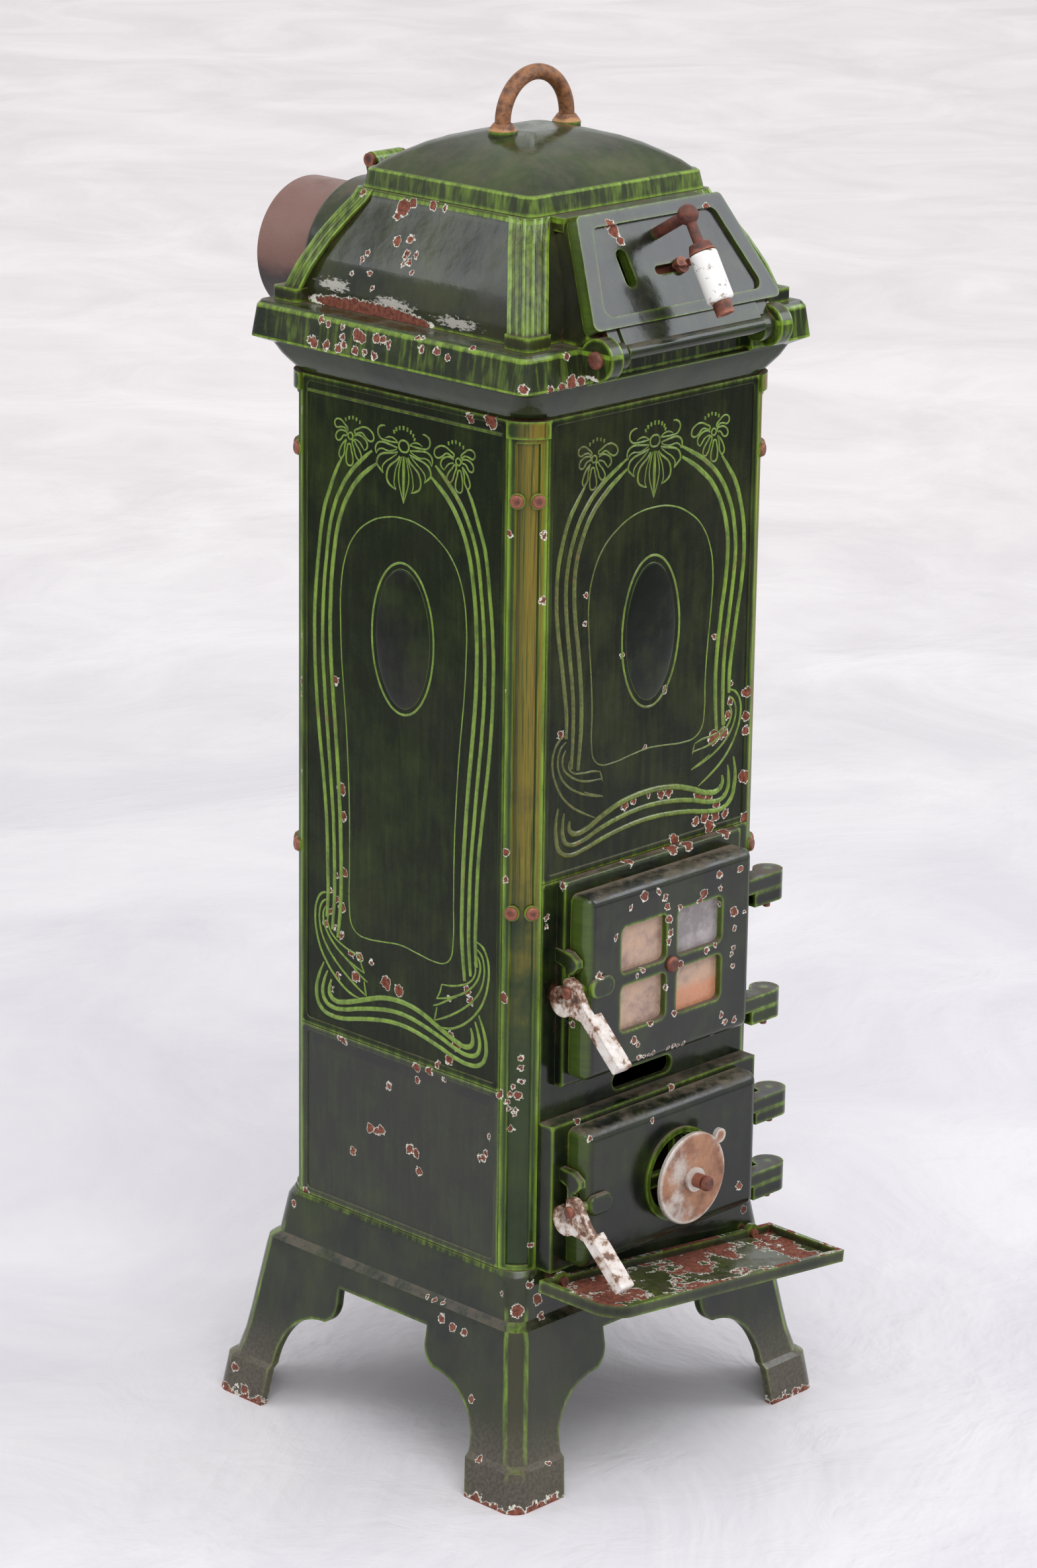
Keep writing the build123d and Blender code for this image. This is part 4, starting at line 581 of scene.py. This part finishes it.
COLUMN = dict(deep=(0.012, 0.024, 0.006), olive=(0.03, 0.055, 0.008), cast=0.4, strips=True)
LOWER_PANEL = dict(deep=(0.0115, 0.0115, 0.0100), cast=0.05, rough=0.18, ior=1.5)
UPPER_PANEL = dict(cast=0.08, grime=0.5, ior=1.29)
GLAZES = {
    "base_casting": dict(deep=(0.0075, 0.011, 0.007), cast=0.35, grime=1.2, dust=1.5, lip=0.55, ior=1.5,
                         legs=True, skirt=(BASE_RIM, BASE_RIM + 40, 0.12)),
    "front_left_column": COLUMN,
    "front_right_column": dict(COLUMN, freckle=0.06),
    "rear_left_column": dict(COLUMN, freckle=0.06),
    "rear_right_column": dict(COLUMN, freckle=0.06),
    "lower_left_panel": dict(LOWER_PANEL, freckle=0.012),
    "lower_right_panel": dict(LOWER_PANEL, freckle=0.05),
    "upper_left_panel": dict(UPPER_PANEL, freckle=0.006),
    "upper_right_panel": dict(UPPER_PANEL, freckle=0.03),
    "back_panel": dict(cast=0.10, freckle=0.05, rough=0.2),
    "front_upper_panel": dict(UPPER_PANEL, olive=(0.030, 0.036, 0.010), cast=0.12, freckle=0.010, grime=0.6),
    "door_frame": dict(cast=0.22, grime=1.4, dust=1.6, lip=0.65),
    "upper_door": dict(deep=(0.0085, 0.010, 0.0070), cast=0.12, flank=0.75, rough=0.13, freckle=0.006,
                       grime=1.2, dust=1.9, lip=0.7, ior=1.5),
    "lower_door": dict(deep=(0.0085, 0.010, 0.0080), cast=0.10, flank=0.6, rough=0.14, freckle=0.01,
                       grime=1.2, dust=1.7, lip=0.7, ior=1.45),
    "cornice": dict(deep=(0.0085, 0.015, 0.006), cast=0.4, grime=1.2, skirt=(*CORNICE_BAND, 0.02), keen=0.01,
                    lines=[(CORNICE_BAND[1] + 0.3, 2.6), (CORNICE_BAND[0] - 0.2, 1.6)],
                    scars=[((-70, -190, 992), (40, 12, 3.2)), ((60, -190, 992), (26, 12, 2.4))]),
    "dome": dict(deep=(0.0085, 0.013, 0.006), olive=(0.045, 0.052, 0.012), cast=0.40, hips=True,
                 lines=[(DOME_LIP, 2.2)],
                 scars=[((-150, 35, 1021), (12, 62, 6.5)), ((-150, -14, 1019), (12, 26, 5.0))],
                 scuffs=[((-148, 78, 1036), (10, 24, 6)), ((-149, 4, 1030), (10, 30, 6)),
                         ((-149, -72, 1026), (10, 30, 6))]),
    "flue_neck": dict(cast=0.5, freckle=0.05),
    "lid": dict(deep=(0.010, 0.017, 0.005), olive=(0.042, 0.062, 0.012), cast=0.5, freckle=0.012, grime=0.5,
                rough=0.1, dust=0.5, keen=0.02, skirt=(LID_LOW, LID_LOW + 15, 0.16),
                lines=[(LID_LOW + 15.5, 1.6)]),
    "filling_flap": dict(deep=(0.007, 0.009, 0.007), cast=0.15, flank=0.8, freckle=0.01, keen=-0.14, lip=0.7),
    "ash_shelf": dict(deep=(0.012, 0.017, 0.008), olive=(0.05, 0.06, 0.02), cast=0.35, rusty=0.64, grime=1.6,
                      lip=0.45),
}
finishes = {node: enamel(f"glaze_{node}", spots=CHIPS.get(node, ()), **look) for node, look in GLAZES.items()}
finishes.update({
    "ridge_x": ridge("ridge_sides", "X"),
    "ridge_y": ridge("ridge_front", "Y", dull=0.85),
    "boss": enamel("glaze_boss", cast=0.12, freckle=0.004, ior=1.36),
    "rust": iron("rusty_iron", RUST_DARK, RUST, RUST_PALE),
    "bare": iron("worn_handle", (0.10, 0.038, 0.015), (0.31, 0.130, 0.048), (0.42, 0.205, 0.082),
                 metal=0.20, gloss=0.50),
    "disc": iron("silvery_disc", (0.17, 0.060, 0.030), (0.40, 0.20, 0.11), (0.62, 0.56, 0.50),
                 scale=48.0, metal=0.3, gloss=0.5, rub_more=0.22),
    # with painted shade on the undersides of the flue pipe and ash pan
    "sheet": iron("rusty_sheet_shaded_below", (0.050, 0.026, 0.023), (0.15, 0.065, 0.048), (0.21, 0.11, 0.085),
                  scale=26.0, gloss=0.6, metal=0.1, under=(0.035, 0.025, 0.024)),
    "soot": iron("sooty_iron", (0.012, 0.010, 0.009), (0.045, 0.030, 0.022), (0.08, 0.05, 0.035), gloss=0.8),
})


def pale_enamel(pivots):
    """Cream lever enamel, speckled with rust and worn through about the rivet and the hook."""
    finish = Finish("cream_lever", IOR=1.5)
    coarse = finish.noise(70.0, 6.0, 0.7)
    field = coarse - finish.edges(0.003) * 0.07
    for x, y, z in pivots:
        gap = finish.vector("DISTANCE", finish.place, (x * MM, y * MM, z * MM), "Value") * 1000
        field = field - gap.step(34.0, 6.0) * 0.10
    colour = finish.ramp(field, (0.30, RUST_DARK), (0.37, (0.21, 0.095, 0.055)), (0.415, (0.42, 0.30, 0.22)),
                         (0.47, (0.60, 0.52, 0.46)), (0.62, (0.74, 0.70, 0.66)))
    finish.set(Base_Color=colour, Roughness=finish.noise(60.0) * 0.2 + 0.3)
    finish.bumps(field.step(0.34, 0.44), 0.0005)
    return finish.material


def porcelain():
    finish = Finish("white_porcelain", IOR=1.5)
    chip = finish.noise(75.0, 4.0, 0.6)
    colour = finish.ramp(chip, (0.33, (0.16, 0.075, 0.04)), (0.38, (0.50, 0.38, 0.27)),
                         (0.42, (0.84, 0.82, 0.78)))
    finish.set(Base_Color=colour, Roughness=chip.step(0.45, 0.36) * 0.5 + 0.14)
    finish.bumps(chip.step(0.36, 0.46), 0.0012)
    return finish.material


def mica():
    """Smoked mica, a different tone in each pane."""
    finish = Finish("smoked_mica", IOR=1.55)
    cloud = finish.noise(45.0, 4.0, 0.6)
    flake = finish.noise(260.0, 5.0, 0.7)
    right = finish.at("X").step(-2.0, 2.0)
    grey = right * finish.at("Z").step(PANE_MIDDLE - 2, PANE_MIDDLE + 2)
    red = right * finish.at("Z").step(PANE_MIDDLE - 22, PANE_MIDDLE - 34)
    colour = finish.ramp(cloud, (0.36, (0.30, 0.19, 0.15)), (0.5, (0.44, 0.30, 0.22)),
                         (0.64, (0.52, 0.33, 0.22)))
    smoke = finish.ramp(cloud, (0.4, (0.20, 0.19, 0.20)), (0.6, (0.36, 0.34, 0.36)))
    colour = finish.mix(grey * 0.85, colour, smoke)
    colour = finish.mix(red * 0.8, colour, (0.55, 0.22, 0.11))
    colour = finish.mix(flake.step(0.55, 0.75) * 0.35, colour, (0.62, 0.53, 0.45))
    finish.set(Base_Color=colour, Roughness=flake * 0.3 + 0.12)
    finish.bumps(cloud + flake * 0.1, 0.0014)
    return finish.material


def firebrick():
    finish = Finish("sooty_firebrick", IOR=1.45)
    grain = finish.noise(420.0, 6.0, 0.7)
    soot = finish.noise(18.0, 4.0, 0.6)
    colour = finish.ramp(grain, (0.3, (0.30, 0.19, 0.12)), (0.7, (0.52, 0.38, 0.27)))
    finish.set(Base_Color=finish.mix(soot.step(0.4, 0.62), colour, (0.02, 0.018, 0.016)), Roughness=0.92)
    finish.bumps(grain, 0.0012)
    return finish.material


finishes["lever"] = pale_enamel(LATCH_PIVOTS)
finishes["porcelain"] = porcelain()
finishes["mica"] = mica()
finishes["brick"] = firebrick()


# ---------------------------------------------------------------- castings with softened edges
def finish_mesh(bm, name, material, body, angle=34.0):
    mesh = bpy.data.meshes.new(name)
    bm.to_mesh(mesh)
    bm.free()
    for face in mesh.polygons:
        face.use_smooth = True
    mesh.set_sharp_from_angle(angle=radians(angle))
    mesh.materials.append(finishes[material])
    piece = bpy.data.objects.new(name, mesh)
    bpy.context.scene.collection.objects.link(piece)
    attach(piece, body)
    return piece


def softened(node, weight):
    """A copy of a casting with its edges rounded over, as enamel leaves them.

    weight is how flat its large faces stay.
    """
    round_over = 0.7        # in mm
    sharp = 28.0            # edges sharper than this many degrees are rounded
    source = nodes[node]
    bm = bmesh.new()
    bm.from_mesh(source.data)
    bmesh.ops.remove_doubles(bm, verts=bm.verts, dist=0.00002)
    bmesh.ops.dissolve_limit(bm, angle_limit=radians(1.0), verts=bm.verts, edges=bm.edges)
    edges = [e for e in bm.edges if len(e.link_faces) == 2 and e.calc_face_angle(0.0) > radians(sharp)]
    bmesh.ops.bevel(bm, geom=edges, offset=round_over * MM, offset_type="OFFSET", segments=2, profile=0.5,
                    affect="EDGES", clamp_overlap=True, material=-1, harden_normals=False)
    piece = finish_mesh(bm, f"{node}_cast", node, source["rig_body"])
    flatter = piece.modifiers.new("flat_faces_stay_flat", "WEIGHTED_NORMAL")
    flatter.keep_sharp = True
    flatter.weight = weight
    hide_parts(node)
    return piece


PLAIN = {
    "rust": ["column_screws", "tie_rods", "tie_rod_nuts", "shelf_studs", "mica_screw", "mica_retainer",
             "upper_hinge_pins", "lower_hinge_pins", "upper_latch_rivet", "lower_latch_rivet",
             "regulator_spindle", "regulator_bush", "lid_hinge_pins", "flap_hinge_bolts", "flap_latch",
             "flap_latch_nut", "flap_tongue", "air_shutter", "wing_knob"],
    "bare": ["lid_handle"],
    "disc": ["regulator_disc"],
    "sheet": ["flue_pipe", "ash_pan"],
    "soot": ["ash_floor", "grate_plate", "fire_grate"],
    "lever": ["upper_latch_lever", "lower_latch_lever"],
    "porcelain": ["flap_latch_grip"],
    "mica": ["mica_panes"],
    "brick": ["left_firebrick", "right_firebrick", "back_firebrick"],
}
CURVED = ("dome", "lid", "flue_neck")
for node in GLAZES:
    softened(node, 50 if node in CURVED else 90)
for material, names in PLAIN.items():
    for node in names:
        nodes[node].data.materials.clear()
        nodes[node].data.materials.append(finishes[material])


# ---------------------------------------------------------------- cast ornament
def on_face(outward, distance):
    """Matrix that stands a flat drawing in mm, u across and z up, on the body's face that looks outward."""
    outward = Vector(outward)
    up = Vector((0, 0, 1))
    turn = Matrix((up.cross(outward), up, outward)).transposed().to_4x4()
    middle = Vector((0, BODY_Y, 0)) + outward * distance
    return Matrix.Translation(middle * MM) @ turn @ Matrix.Scale(MM, 4)


def strokes(name, lines):
    """Lines with low round backs, laid flat at z 0.

    Each is (half width, points, closed), and a point may carry its own share of the width.
    """
    rise = 0.62             # the backs' height for their half width
    curve = bpy.data.curves.new(name, "CURVE")
    curve.dimensions = "3D"
    curve.bevel_depth = 1.0
    curve.bevel_resolution = 2
    curve.resolution_u = 5
    curve.use_fill_caps = True
    for half, points, closed in lines:
        spline = curve.splines.new("BEZIER")
        spline.bezier_points.add(len(points) - 1)
        spline.use_cyclic_u = closed
        for knot, point in zip(spline.bezier_points, points):
            knot.co = (point[0], point[1], 0.0)
            knot.radius = half * (point[2] if len(point) > 2 else 1.0)
            knot.handle_left_type = knot.handle_right_type = "AUTO"
    holder = bpy.data.objects.new(name, curve)
    bpy.context.scene.collection.objects.link(holder)
    bpy.context.view_layer.update()
    graph = bpy.context.evaluated_depsgraph_get()
    mesh = bpy.data.meshes.new_from_object(holder.evaluated_get(graph))
    bm = bmesh.new()
    bm.from_mesh(mesh)
    bmesh.ops.scale(bm, vec=(1.0, 1.0, rise), verts=bm.verts)
    bpy.data.objects.remove(holder)
    bpy.data.curves.remove(curve)
    bpy.data.meshes.remove(mesh)
    return bm


def flipped(points):
    return [(-u, *rest) for u, *rest in points]


def mirrored(lines):
    """The lines and their mirror images about u 0."""
    return lines + [(half, flipped(points), closed) for half, points, closed in lines]


def moved(lines, du, dz):
    out = []
    for half, points, closed in lines:
        out.append((half, [(u + du, z + dz, *share) for u, z, *share in points], closed))
    return out


def loop(half, *points):
    return (half, list(points), True)


def line(half, *points):
    return (half, list(points), False)


def symmetric(kind, half, *points):
    """A line or loop that runs on from its points into their mirror image, back to the start's other side."""
    back = flipped(p for p in reversed(points) if p[0])
    return kind(half, *points, *back)


def oval(half, u, z, middle):
    return loop(half, *[(u * cos(a * pi / 12), middle + z * sin(a * pi / 12)) for a in range(24)])


def great_flower():
    """The large flower at the crown of the arch, about its boss at 0, 0."""
    side = [
        line(0.95, (7, 2, .6), (14, 1.6), (22, 1.6), (28, 2.6), (31.3, 6.8), (30.5, 11.3), (26.5, 13.8),
             (22.5, 14.2, .6)),
        line(0.8, (7.5, 2.6, .6), (13, 5.2), (18, 5.2), (22.5, 3.6, .5)),
        line(0.95, (7.5, -2.6, .7), (14, -1.6), (20, -.8), (27, -.5), (32, -2.6), (34.4, -7),
             (33.3, -11.6, .5)),
        line(0.75, (33.3, -11.6, .5), (31, -8), (26, -6.2), (20, -7), (14, -6), (8, -3.6, .7)),
        line(1.05, (7, -6, .7), (13, -7.6), (20, -9), (27, -11), (31.5, -15), (32.4, -20.5), (29.5, -23.5),
             (24.8, -27.4, .5)),
        line(0.75, (24.8, -27.4, .5), (26, -22.5), (22, -17.2), (15, -12.6), (8, -7.6, .7)),
        line(1.05, (5, -9, .7), (8, -13), (13, -16.6), (18, -21), (20.5, -28), (19, -34), (14.5, -37),
             (9.2, -39, .5)),
        line(0.75, (9.2, -39, .5), (11.4, -34.5), (11, -28), (9.4, -21), (5.6, -13), (4, -9.4, .7)),
        line(0.75, (2.2, -9, .7), (4.8, -17), (6.2, -26), (5.2, -34), (2.6, -42), (0, -49.5, .5)),
    ]
    beads = []
    for degrees in range(8, 176, 21):
        across = cos(radians(degrees)) * 1.08
        up = sin(radians(degrees))
        beads.append(line(1.25, (11.6 * across, 5.8 + 8.2 * up, .8), (12.4 * across, 8.4 + 9.4 * up, 1.0)))
    return mirrored(side) + beads + [
        line(1.7, (0, -8.5, .7), (0, -22, 1.1), (0, -36, .9), (0, -49, .3)),
        loop(1.0, (6, 0), (4.2, 3.8), (0, 5), (-4.2, 3.8), (-6, 0), (-4.2, -3.8), (0, -5), (4.2, -3.8)),
    ]


def small_flower():
    """The small flower to one side of the arch, about its boss at 0, 0, on the +u side."""
    tips = ((5.6, 13.6), (1.6, 15.6), (-3, 16.6), (-7.2, 15.8), (-11.4, 14))
    beads = [line(1.15, (u, z - 1.6, .8), (u * 1.04, z + 1.6, 1.0)) for u, z in tips]
    return beads + [
        loop(0.9, (3.5, 4), (8, 10), (13, 12.6), (18, 11.4), (19.4, 8), (17, 5), (12, 6), (7, 6)),
        loop(0.9, (4, 1.6), (9, 3.4), (14, 2.4), (17.8, -1.5), (17.4, -5), (15, -6.2), (12, -5), (8.5, -1),
             (4.5, 0)),
        line(0.9, (4.6, -3.6), (9, -7.6), (13, -14), (13.8, -19), (11.2, -22)),
        line(0.9, (11.2, -22), (7.8, -17), (7, -10), (5, -4.2)),
        loop(0.9, (1.4, -7), (4.5, -13), (5.2, -20), (4, -25), (1, -26.2), (-2.4, -24.5), (-3.2, -20),
             (-1.4, -13)),
        loop(0.9, (-3.4, -3.2), (-7, -6.5), (-11.5, -11.5), (-13.4, -16.5), (-11, -19.6), (-7, -17),
             (-5, -12)),
        line(0.9, (-5, 1), (-10, 2.5), (-16, 1), (-20.4, -3), (-20.4, -6.8), (-17, -10, .5)),
        line(0.75, (-17, -10, .5), (-14.5, -7), (-11, -3.6), (-5, -1.8)),
        loop(0.9, (-5, 4), (-10, 8), (-17, 10.5), (-24, 9), (-28.4, 4.5), (-28, 1), (-24, -.7), (-19, 1.5),
             (-14, 5)),
        loop(0.9, (3, 0), (2, 2.2), (0, 3), (-2, 2.2), (-3, 0), (-2, -2.2), (0, -3), (2, -2.2)),
    ]


def tall_arch():
    """Side panels: three bands each side, gathered and knotted at the foot over a wave of three."""
    side = [
        line(2.1, (76.2, 888, .5), (81.5, 879, .85), (89, 862), (97.5, 840), (104, 800), (108.3, 760),
             (109, 720), (107, 680), (103, 640), (97.5, 600), (93.5, 560), (92, 520), (91.5, 490),
             (93, 470, .9)),
        line(2.1, (38, 902, .5), (47, 895, .9), (56, 887), (65, 878), (74, 866), (86.5, 840), (94, 800),
             (98, 760), (98.8, 720), (96.4, 680), (92.2, 640), (88.3, 600), (84.8, 560), (83.4, 520),
             (83.4, 490), (86, 460, .8)),
        line(2.3, (32, 892, .5), (42, 885, .9), (54, 875), (66, 860), (77, 838), (85.5, 800), (89, 760),
             (89, 720), (86, 680), (82, 640), (78.6, 600), (76, 560), (75, 520), (75.2, 490),
             (79, 454, .8)),
        line(1.25, (92, 493, .6), (100, 490), (105.6, 482), (108, 470), (106.6, 455), (101.5, 440),
             (93.5, 428), (83, 417.5), (72, 410), (60, 405), (51, 404, .5)),
        line(1.15, (93, 486.5, .6), (99, 482), (102.2, 474), (102, 462), (98, 450), (90, 439), (80, 430),
             (68, 421.5), (55, 414), (43, 408.5, .6)),
        line(1.15, (94, 480, .6), (97.2, 474), (97, 465), (92, 455), (83, 446), (72, 439), (60, 433.5),
             (45, 429, .6)),
        line(1.0, (90, 474, .5), (92, 468), (90, 460), (84, 453.5), (75, 449), (62, 445), (51, 443.5, .6)),
        line(1.0, (51, 443.5, .6), (49, 436), (45, 429, .6)),
        line(1.0, (70, 437, .5), (58, 430.5), (47, 424), (41, 421.5, .6)),
        line(1.1, (45.5, 421.5, .6), (44, 414), (42.5, 408.3, .6)),
    ]
    wave = [
        symmetric(line, 2.2, (96.5, 427, .4), (103, 413, .8), (106, 400), (104, 388), (97, 381),
                  (85, 378.6), (70, 380), (50, 385), (30, 389.5), (10, 392.5)),
        symmetric(line, 2.2, (92, 420, .4), (96.5, 409, .8), (98, 398), (94.5, 390.5), (86, 387),
                  (71, 388.5), (52, 394), (30, 399.5), (10, 402.8)),
        symmetric(line, 2.5, (87, 413, .4), (89.5, 404, .8), (88.5, 398), (82, 394), (70, 395.6),
                  (55, 400.5), (39, 406.5), (24, 411.5), (9, 414)),
    ]
    inner = [
        symmetric(loop, 0.7, (0, 849.3), (20, 847), (41, 839), (60, 823), (71, 802), (76.5, 771),
                  (76.5, 740), (75, 710), (72, 680), (69.5, 655), (67, 620), (65, 580), (64.5, 520),
                  (64.5, 486), (61.5, 470), (54, 463.5), (42, 462), (22, 464), (0, 466.5)),
        oval(1.15, 37.5, 67.0, SIDE_OVAL_Z),
    ]
    right = moved(small_flower(), 65, 910)
    return mirrored(side) + wave + inner + moved(great_flower(), 0, 912) + mirrored(right)


def short_arch():
    """The front panel: the same bands on a shorter, wider arch."""
    side = [
        line(2.3, (85.5, 892, .5), (93, 882, .85), (103, 868), (111, 848), (116.5, 824), (117.6, 800),
             (116, 778), (111, 748), (106, 718), (103, 694), (103, 676, .8)),
        line(2.3, (34, 908, .5), (48, 900.5, .9), (64, 891), (83, 874), (97, 851), (104, 828), (106.4, 806),
             (104.5, 778), (99.8, 744), (95.5, 710), (94.8, 680), (96, 648, .8)),
        line(2.4, (34, 899, .5), (46, 892, .9), (59, 883), (76, 867), (88, 846), (94.5, 826), (96.2, 806),
             (94.5, 780), (89.5, 748), (85.4, 710), (85, 680), (88, 645, .8)),
        line(1.25, (104, 679, .6), (112, 675), (118.4, 665), (119, 652), (114.5, 638), (106.5, 625),
             (95, 614), (82, 606), (66, 598, .5)),
        line(1.15, (103, 673, .6), (109.5, 668), (112.8, 659), (110.5, 647), (103, 636), (89, 626),
             (70, 618.5), (56, 615, .6)),
        line(1.15, (103, 666, .6), (107, 658.5), (105.5, 650), (99, 643), (82, 634), (58, 631, .6)),
        line(1.0, (98, 656, .5), (99, 650), (94, 644), (82, 641), (68, 640), (60, 638, .6)),
        line(1.0, (60, 638, .6), (58.5, 634), (57, 629, .6)),
        line(1.0, (80, 624, .5), (68, 619), (58, 616, .6)),
    ]
    wave = [
        symmetric(line, 2.4, (111.5, 616, .4), (114, 603, .8), (113.5, 590), (109, 577), (98, 571),
                  (80, 572), (56, 577), (28, 581), (8, 582.4)),
        symmetric(line, 2.4, (104, 610, .4), (105.5, 600, .8), (104.5, 588), (99, 581), (84, 580),
                  (58, 587), (28, 592.4), (8, 594)),
        symmetric(line, 2.8, (97, 602, .4), (97.5, 595, .8), (93, 589.5), (78, 589.5), (58, 597),
                  (38, 603.4), (18, 606.6), (0, 607.4)),
    ]
    inner = [
        symmetric(loop, 0.75, (0, 860), (25, 857), (45, 848), (62, 834), (74, 812), (78, 790), (77, 760),
                  (73.5, 725), (71.5, 692), (71.5, 665), (68.5, 651), (60, 644), (45, 642.5), (20, 645),
                  (0, 646.5)),
        oval(1.2, 36.0, 67.0, FRONT_OVAL_Z),
    ]
    right = moved(small_flower(), 74.5, 914)
    return mirrored(side) + wave + inner + moved(great_flower(), 0, 918) + mirrored(right)


def laid(bm, name, material, place):
    """A finished piece from a flat drawing, on the face that the matrix gives."""
    bmesh.ops.transform(bm, matrix=place, verts=bm.verts)
    bmesh.ops.recalc_face_normals(bm, faces=bm.faces)
    return finish_mesh(bm, name, material, "stove_body", 60.0)


def cushion(u, z, middle):
    """The gently domed oval in the middle of a panel."""
    rise = 2.4
    bm = bmesh.new()
    bmesh.ops.create_uvsphere(bm, u_segments=48, v_segments=24, radius=1.0)
    bmesh.ops.bisect_plane(bm, geom=bm.verts[:] + bm.edges[:] + bm.faces[:], plane_co=(0, 0, -0.05),
                           plane_no=(0, 0, 1), clear_inner=True)
    bmesh.ops.scale(bm, vec=(u, z, rise), verts=bm.verts)
    bmesh.ops.translate(bm, vec=(0.0, middle, 0.0), verts=bm.verts)
    return bm


for side, outward in (("left", -1), ("right", 1)):
    place = on_face((outward, 0, 0), SIDE_FACE)
    laid(strokes(f"{side}_arch_relief", tall_arch()), f"{side}_arch_relief", "ridge_x", place)
    laid(cushion(33.0, 62.0, SIDE_OVAL_Z), f"{side}_oval_boss", "boss", place)
place = on_face((0, -1, 0), FRONT_FACE)
laid(strokes("front_arch_relief", short_arch()), "front_arch_relief", "ridge_y", place)
laid(cushion(31.0, 61.0, FRONT_OVAL_Z), "front_oval_boss", "boss", place)


# ---------------------------------------------------------------- studio, lights and camera
EYE = Vector((-2920.03, -2827.02, 1841.27)) * MM
TARGET = Vector((-18.3, -23.5, 587.0)) * MM
ROLL = 0.8105               # in degrees
FOCAL_PX = 7243.1           # focal length in the photograph's pixels
PHOTO_HEIGHT_PX = 2371.0


def studio():
    """A pale creased sheet under the stove with painted shade and highlight along its folds, a little greyer
    to either side of the view.
    """
    bm = bmesh.new()
    bmesh.ops.create_grid(bm, x_segments=1, y_segments=1, size=40.0)
    mesh = bpy.data.meshes.new("floor")
    bm.to_mesh(mesh)
    bm.free()
    floor = bpy.data.objects.new("floor", mesh)
    bpy.context.scene.collection.objects.link(floor)
    sheet = Finish("pale_sheet", Roughness=0.8)
    ahead = (TARGET - EYE).normalized()
    off_line = (sheet.at("X") * ahead.y - sheet.at("Y") * ahead.x).size()
    aside = (off_line + (sheet.noise(1.6, 3.0) - 0.5) * 500).step(1100.0, 3400.0)
    folds_and_fold_shade = sheet.noise(2.2, 5.0, 0.6, distortion=1.2)
    back = (sheet.at("X") * ahead.x + sheet.at("Y") * ahead.y).step(600.0, 4200.0)
    # painted shade and highlight: the sheet's colour goes darker and lighter with its folds
    near = sheet.ramp(folds_and_fold_shade, (0.35, (0.66, 0.64, 0.665)), (0.65, (0.76, 0.735, 0.745)))
    far = sheet.ramp(folds_and_fold_shade, (0.35, (0.86, 0.815, 0.80)), (0.65, (0.97, 0.93, 0.91)))
    pale = sheet.mix(back, near, far)
    sheet.set(Base_Color=sheet.mix(aside, pale, (0.34, 0.33, 0.335)))
    sheet.bumps(folds_and_fold_shade + sheet.noise(9.0, 4.0, 0.6, distortion=1.6) * 0.22, 0.03, 0.5)
    mesh.materials.append(sheet.material)
    world = bpy.data.worlds.new("soft_daylight")
    world.use_nodes = True
    bpy.context.scene.world = world
    background = world.node_tree.nodes["Background"]
    background.inputs["Color"].default_value = (0.97, 0.97, 1.0, 1.0)
    background.inputs["Strength"].default_value = 0.90
    for name, place, aim, size, power, colour in (
        ("sky_panel", (-1.2, -2.0, 3.6), (0, 0, 0.6), 2.4, 62.0, (0.97, 0.98, 1.0)),
        ("flap_panel", (2.34, -1.77, 2.58), (0, -0.2, 1.06), 1.5, 30.0, (0.90, 0.94, 1.0)),
        ("dome_panel", (-2.6, 2.2, 3.0), (0, 0, 1.0), 1.4, 16.0, (0.92, 0.96, 1.0)),
    ):
        light = bpy.data.lights.new(name, "AREA")
        light.shape = "RECTANGLE"
        light.size = light.size_y = size
        light.energy = power
        light.color = colour
        lamp = bpy.data.objects.new(name, light)
        lamp.location = place
        lamp.rotation_euler = (Vector(aim) - Vector(place)).to_track_quat("-Z", "Y").to_euler()
        bpy.context.scene.collection.objects.link(lamp)


def camera():
    view = bpy.data.cameras.new("photo_view")
    view.sensor_width = 36.0
    view.lens = view.sensor_width * FOCAL_PX / PHOTO_HEIGHT_PX
    holder = bpy.data.objects.new("photo_view", view)
    turn = (TARGET - EYE).to_track_quat("-Z", "Y").to_matrix().to_4x4()
    holder.matrix_world = Matrix.Translation(EYE) @ turn @ Matrix.Rotation(radians(ROLL), 4, "Z")
    bpy.context.scene.collection.objects.link(holder)
    bpy.context.scene.camera = holder


studio()
camera()
bpy.context.scene.view_settings.view_transform = "Standard"
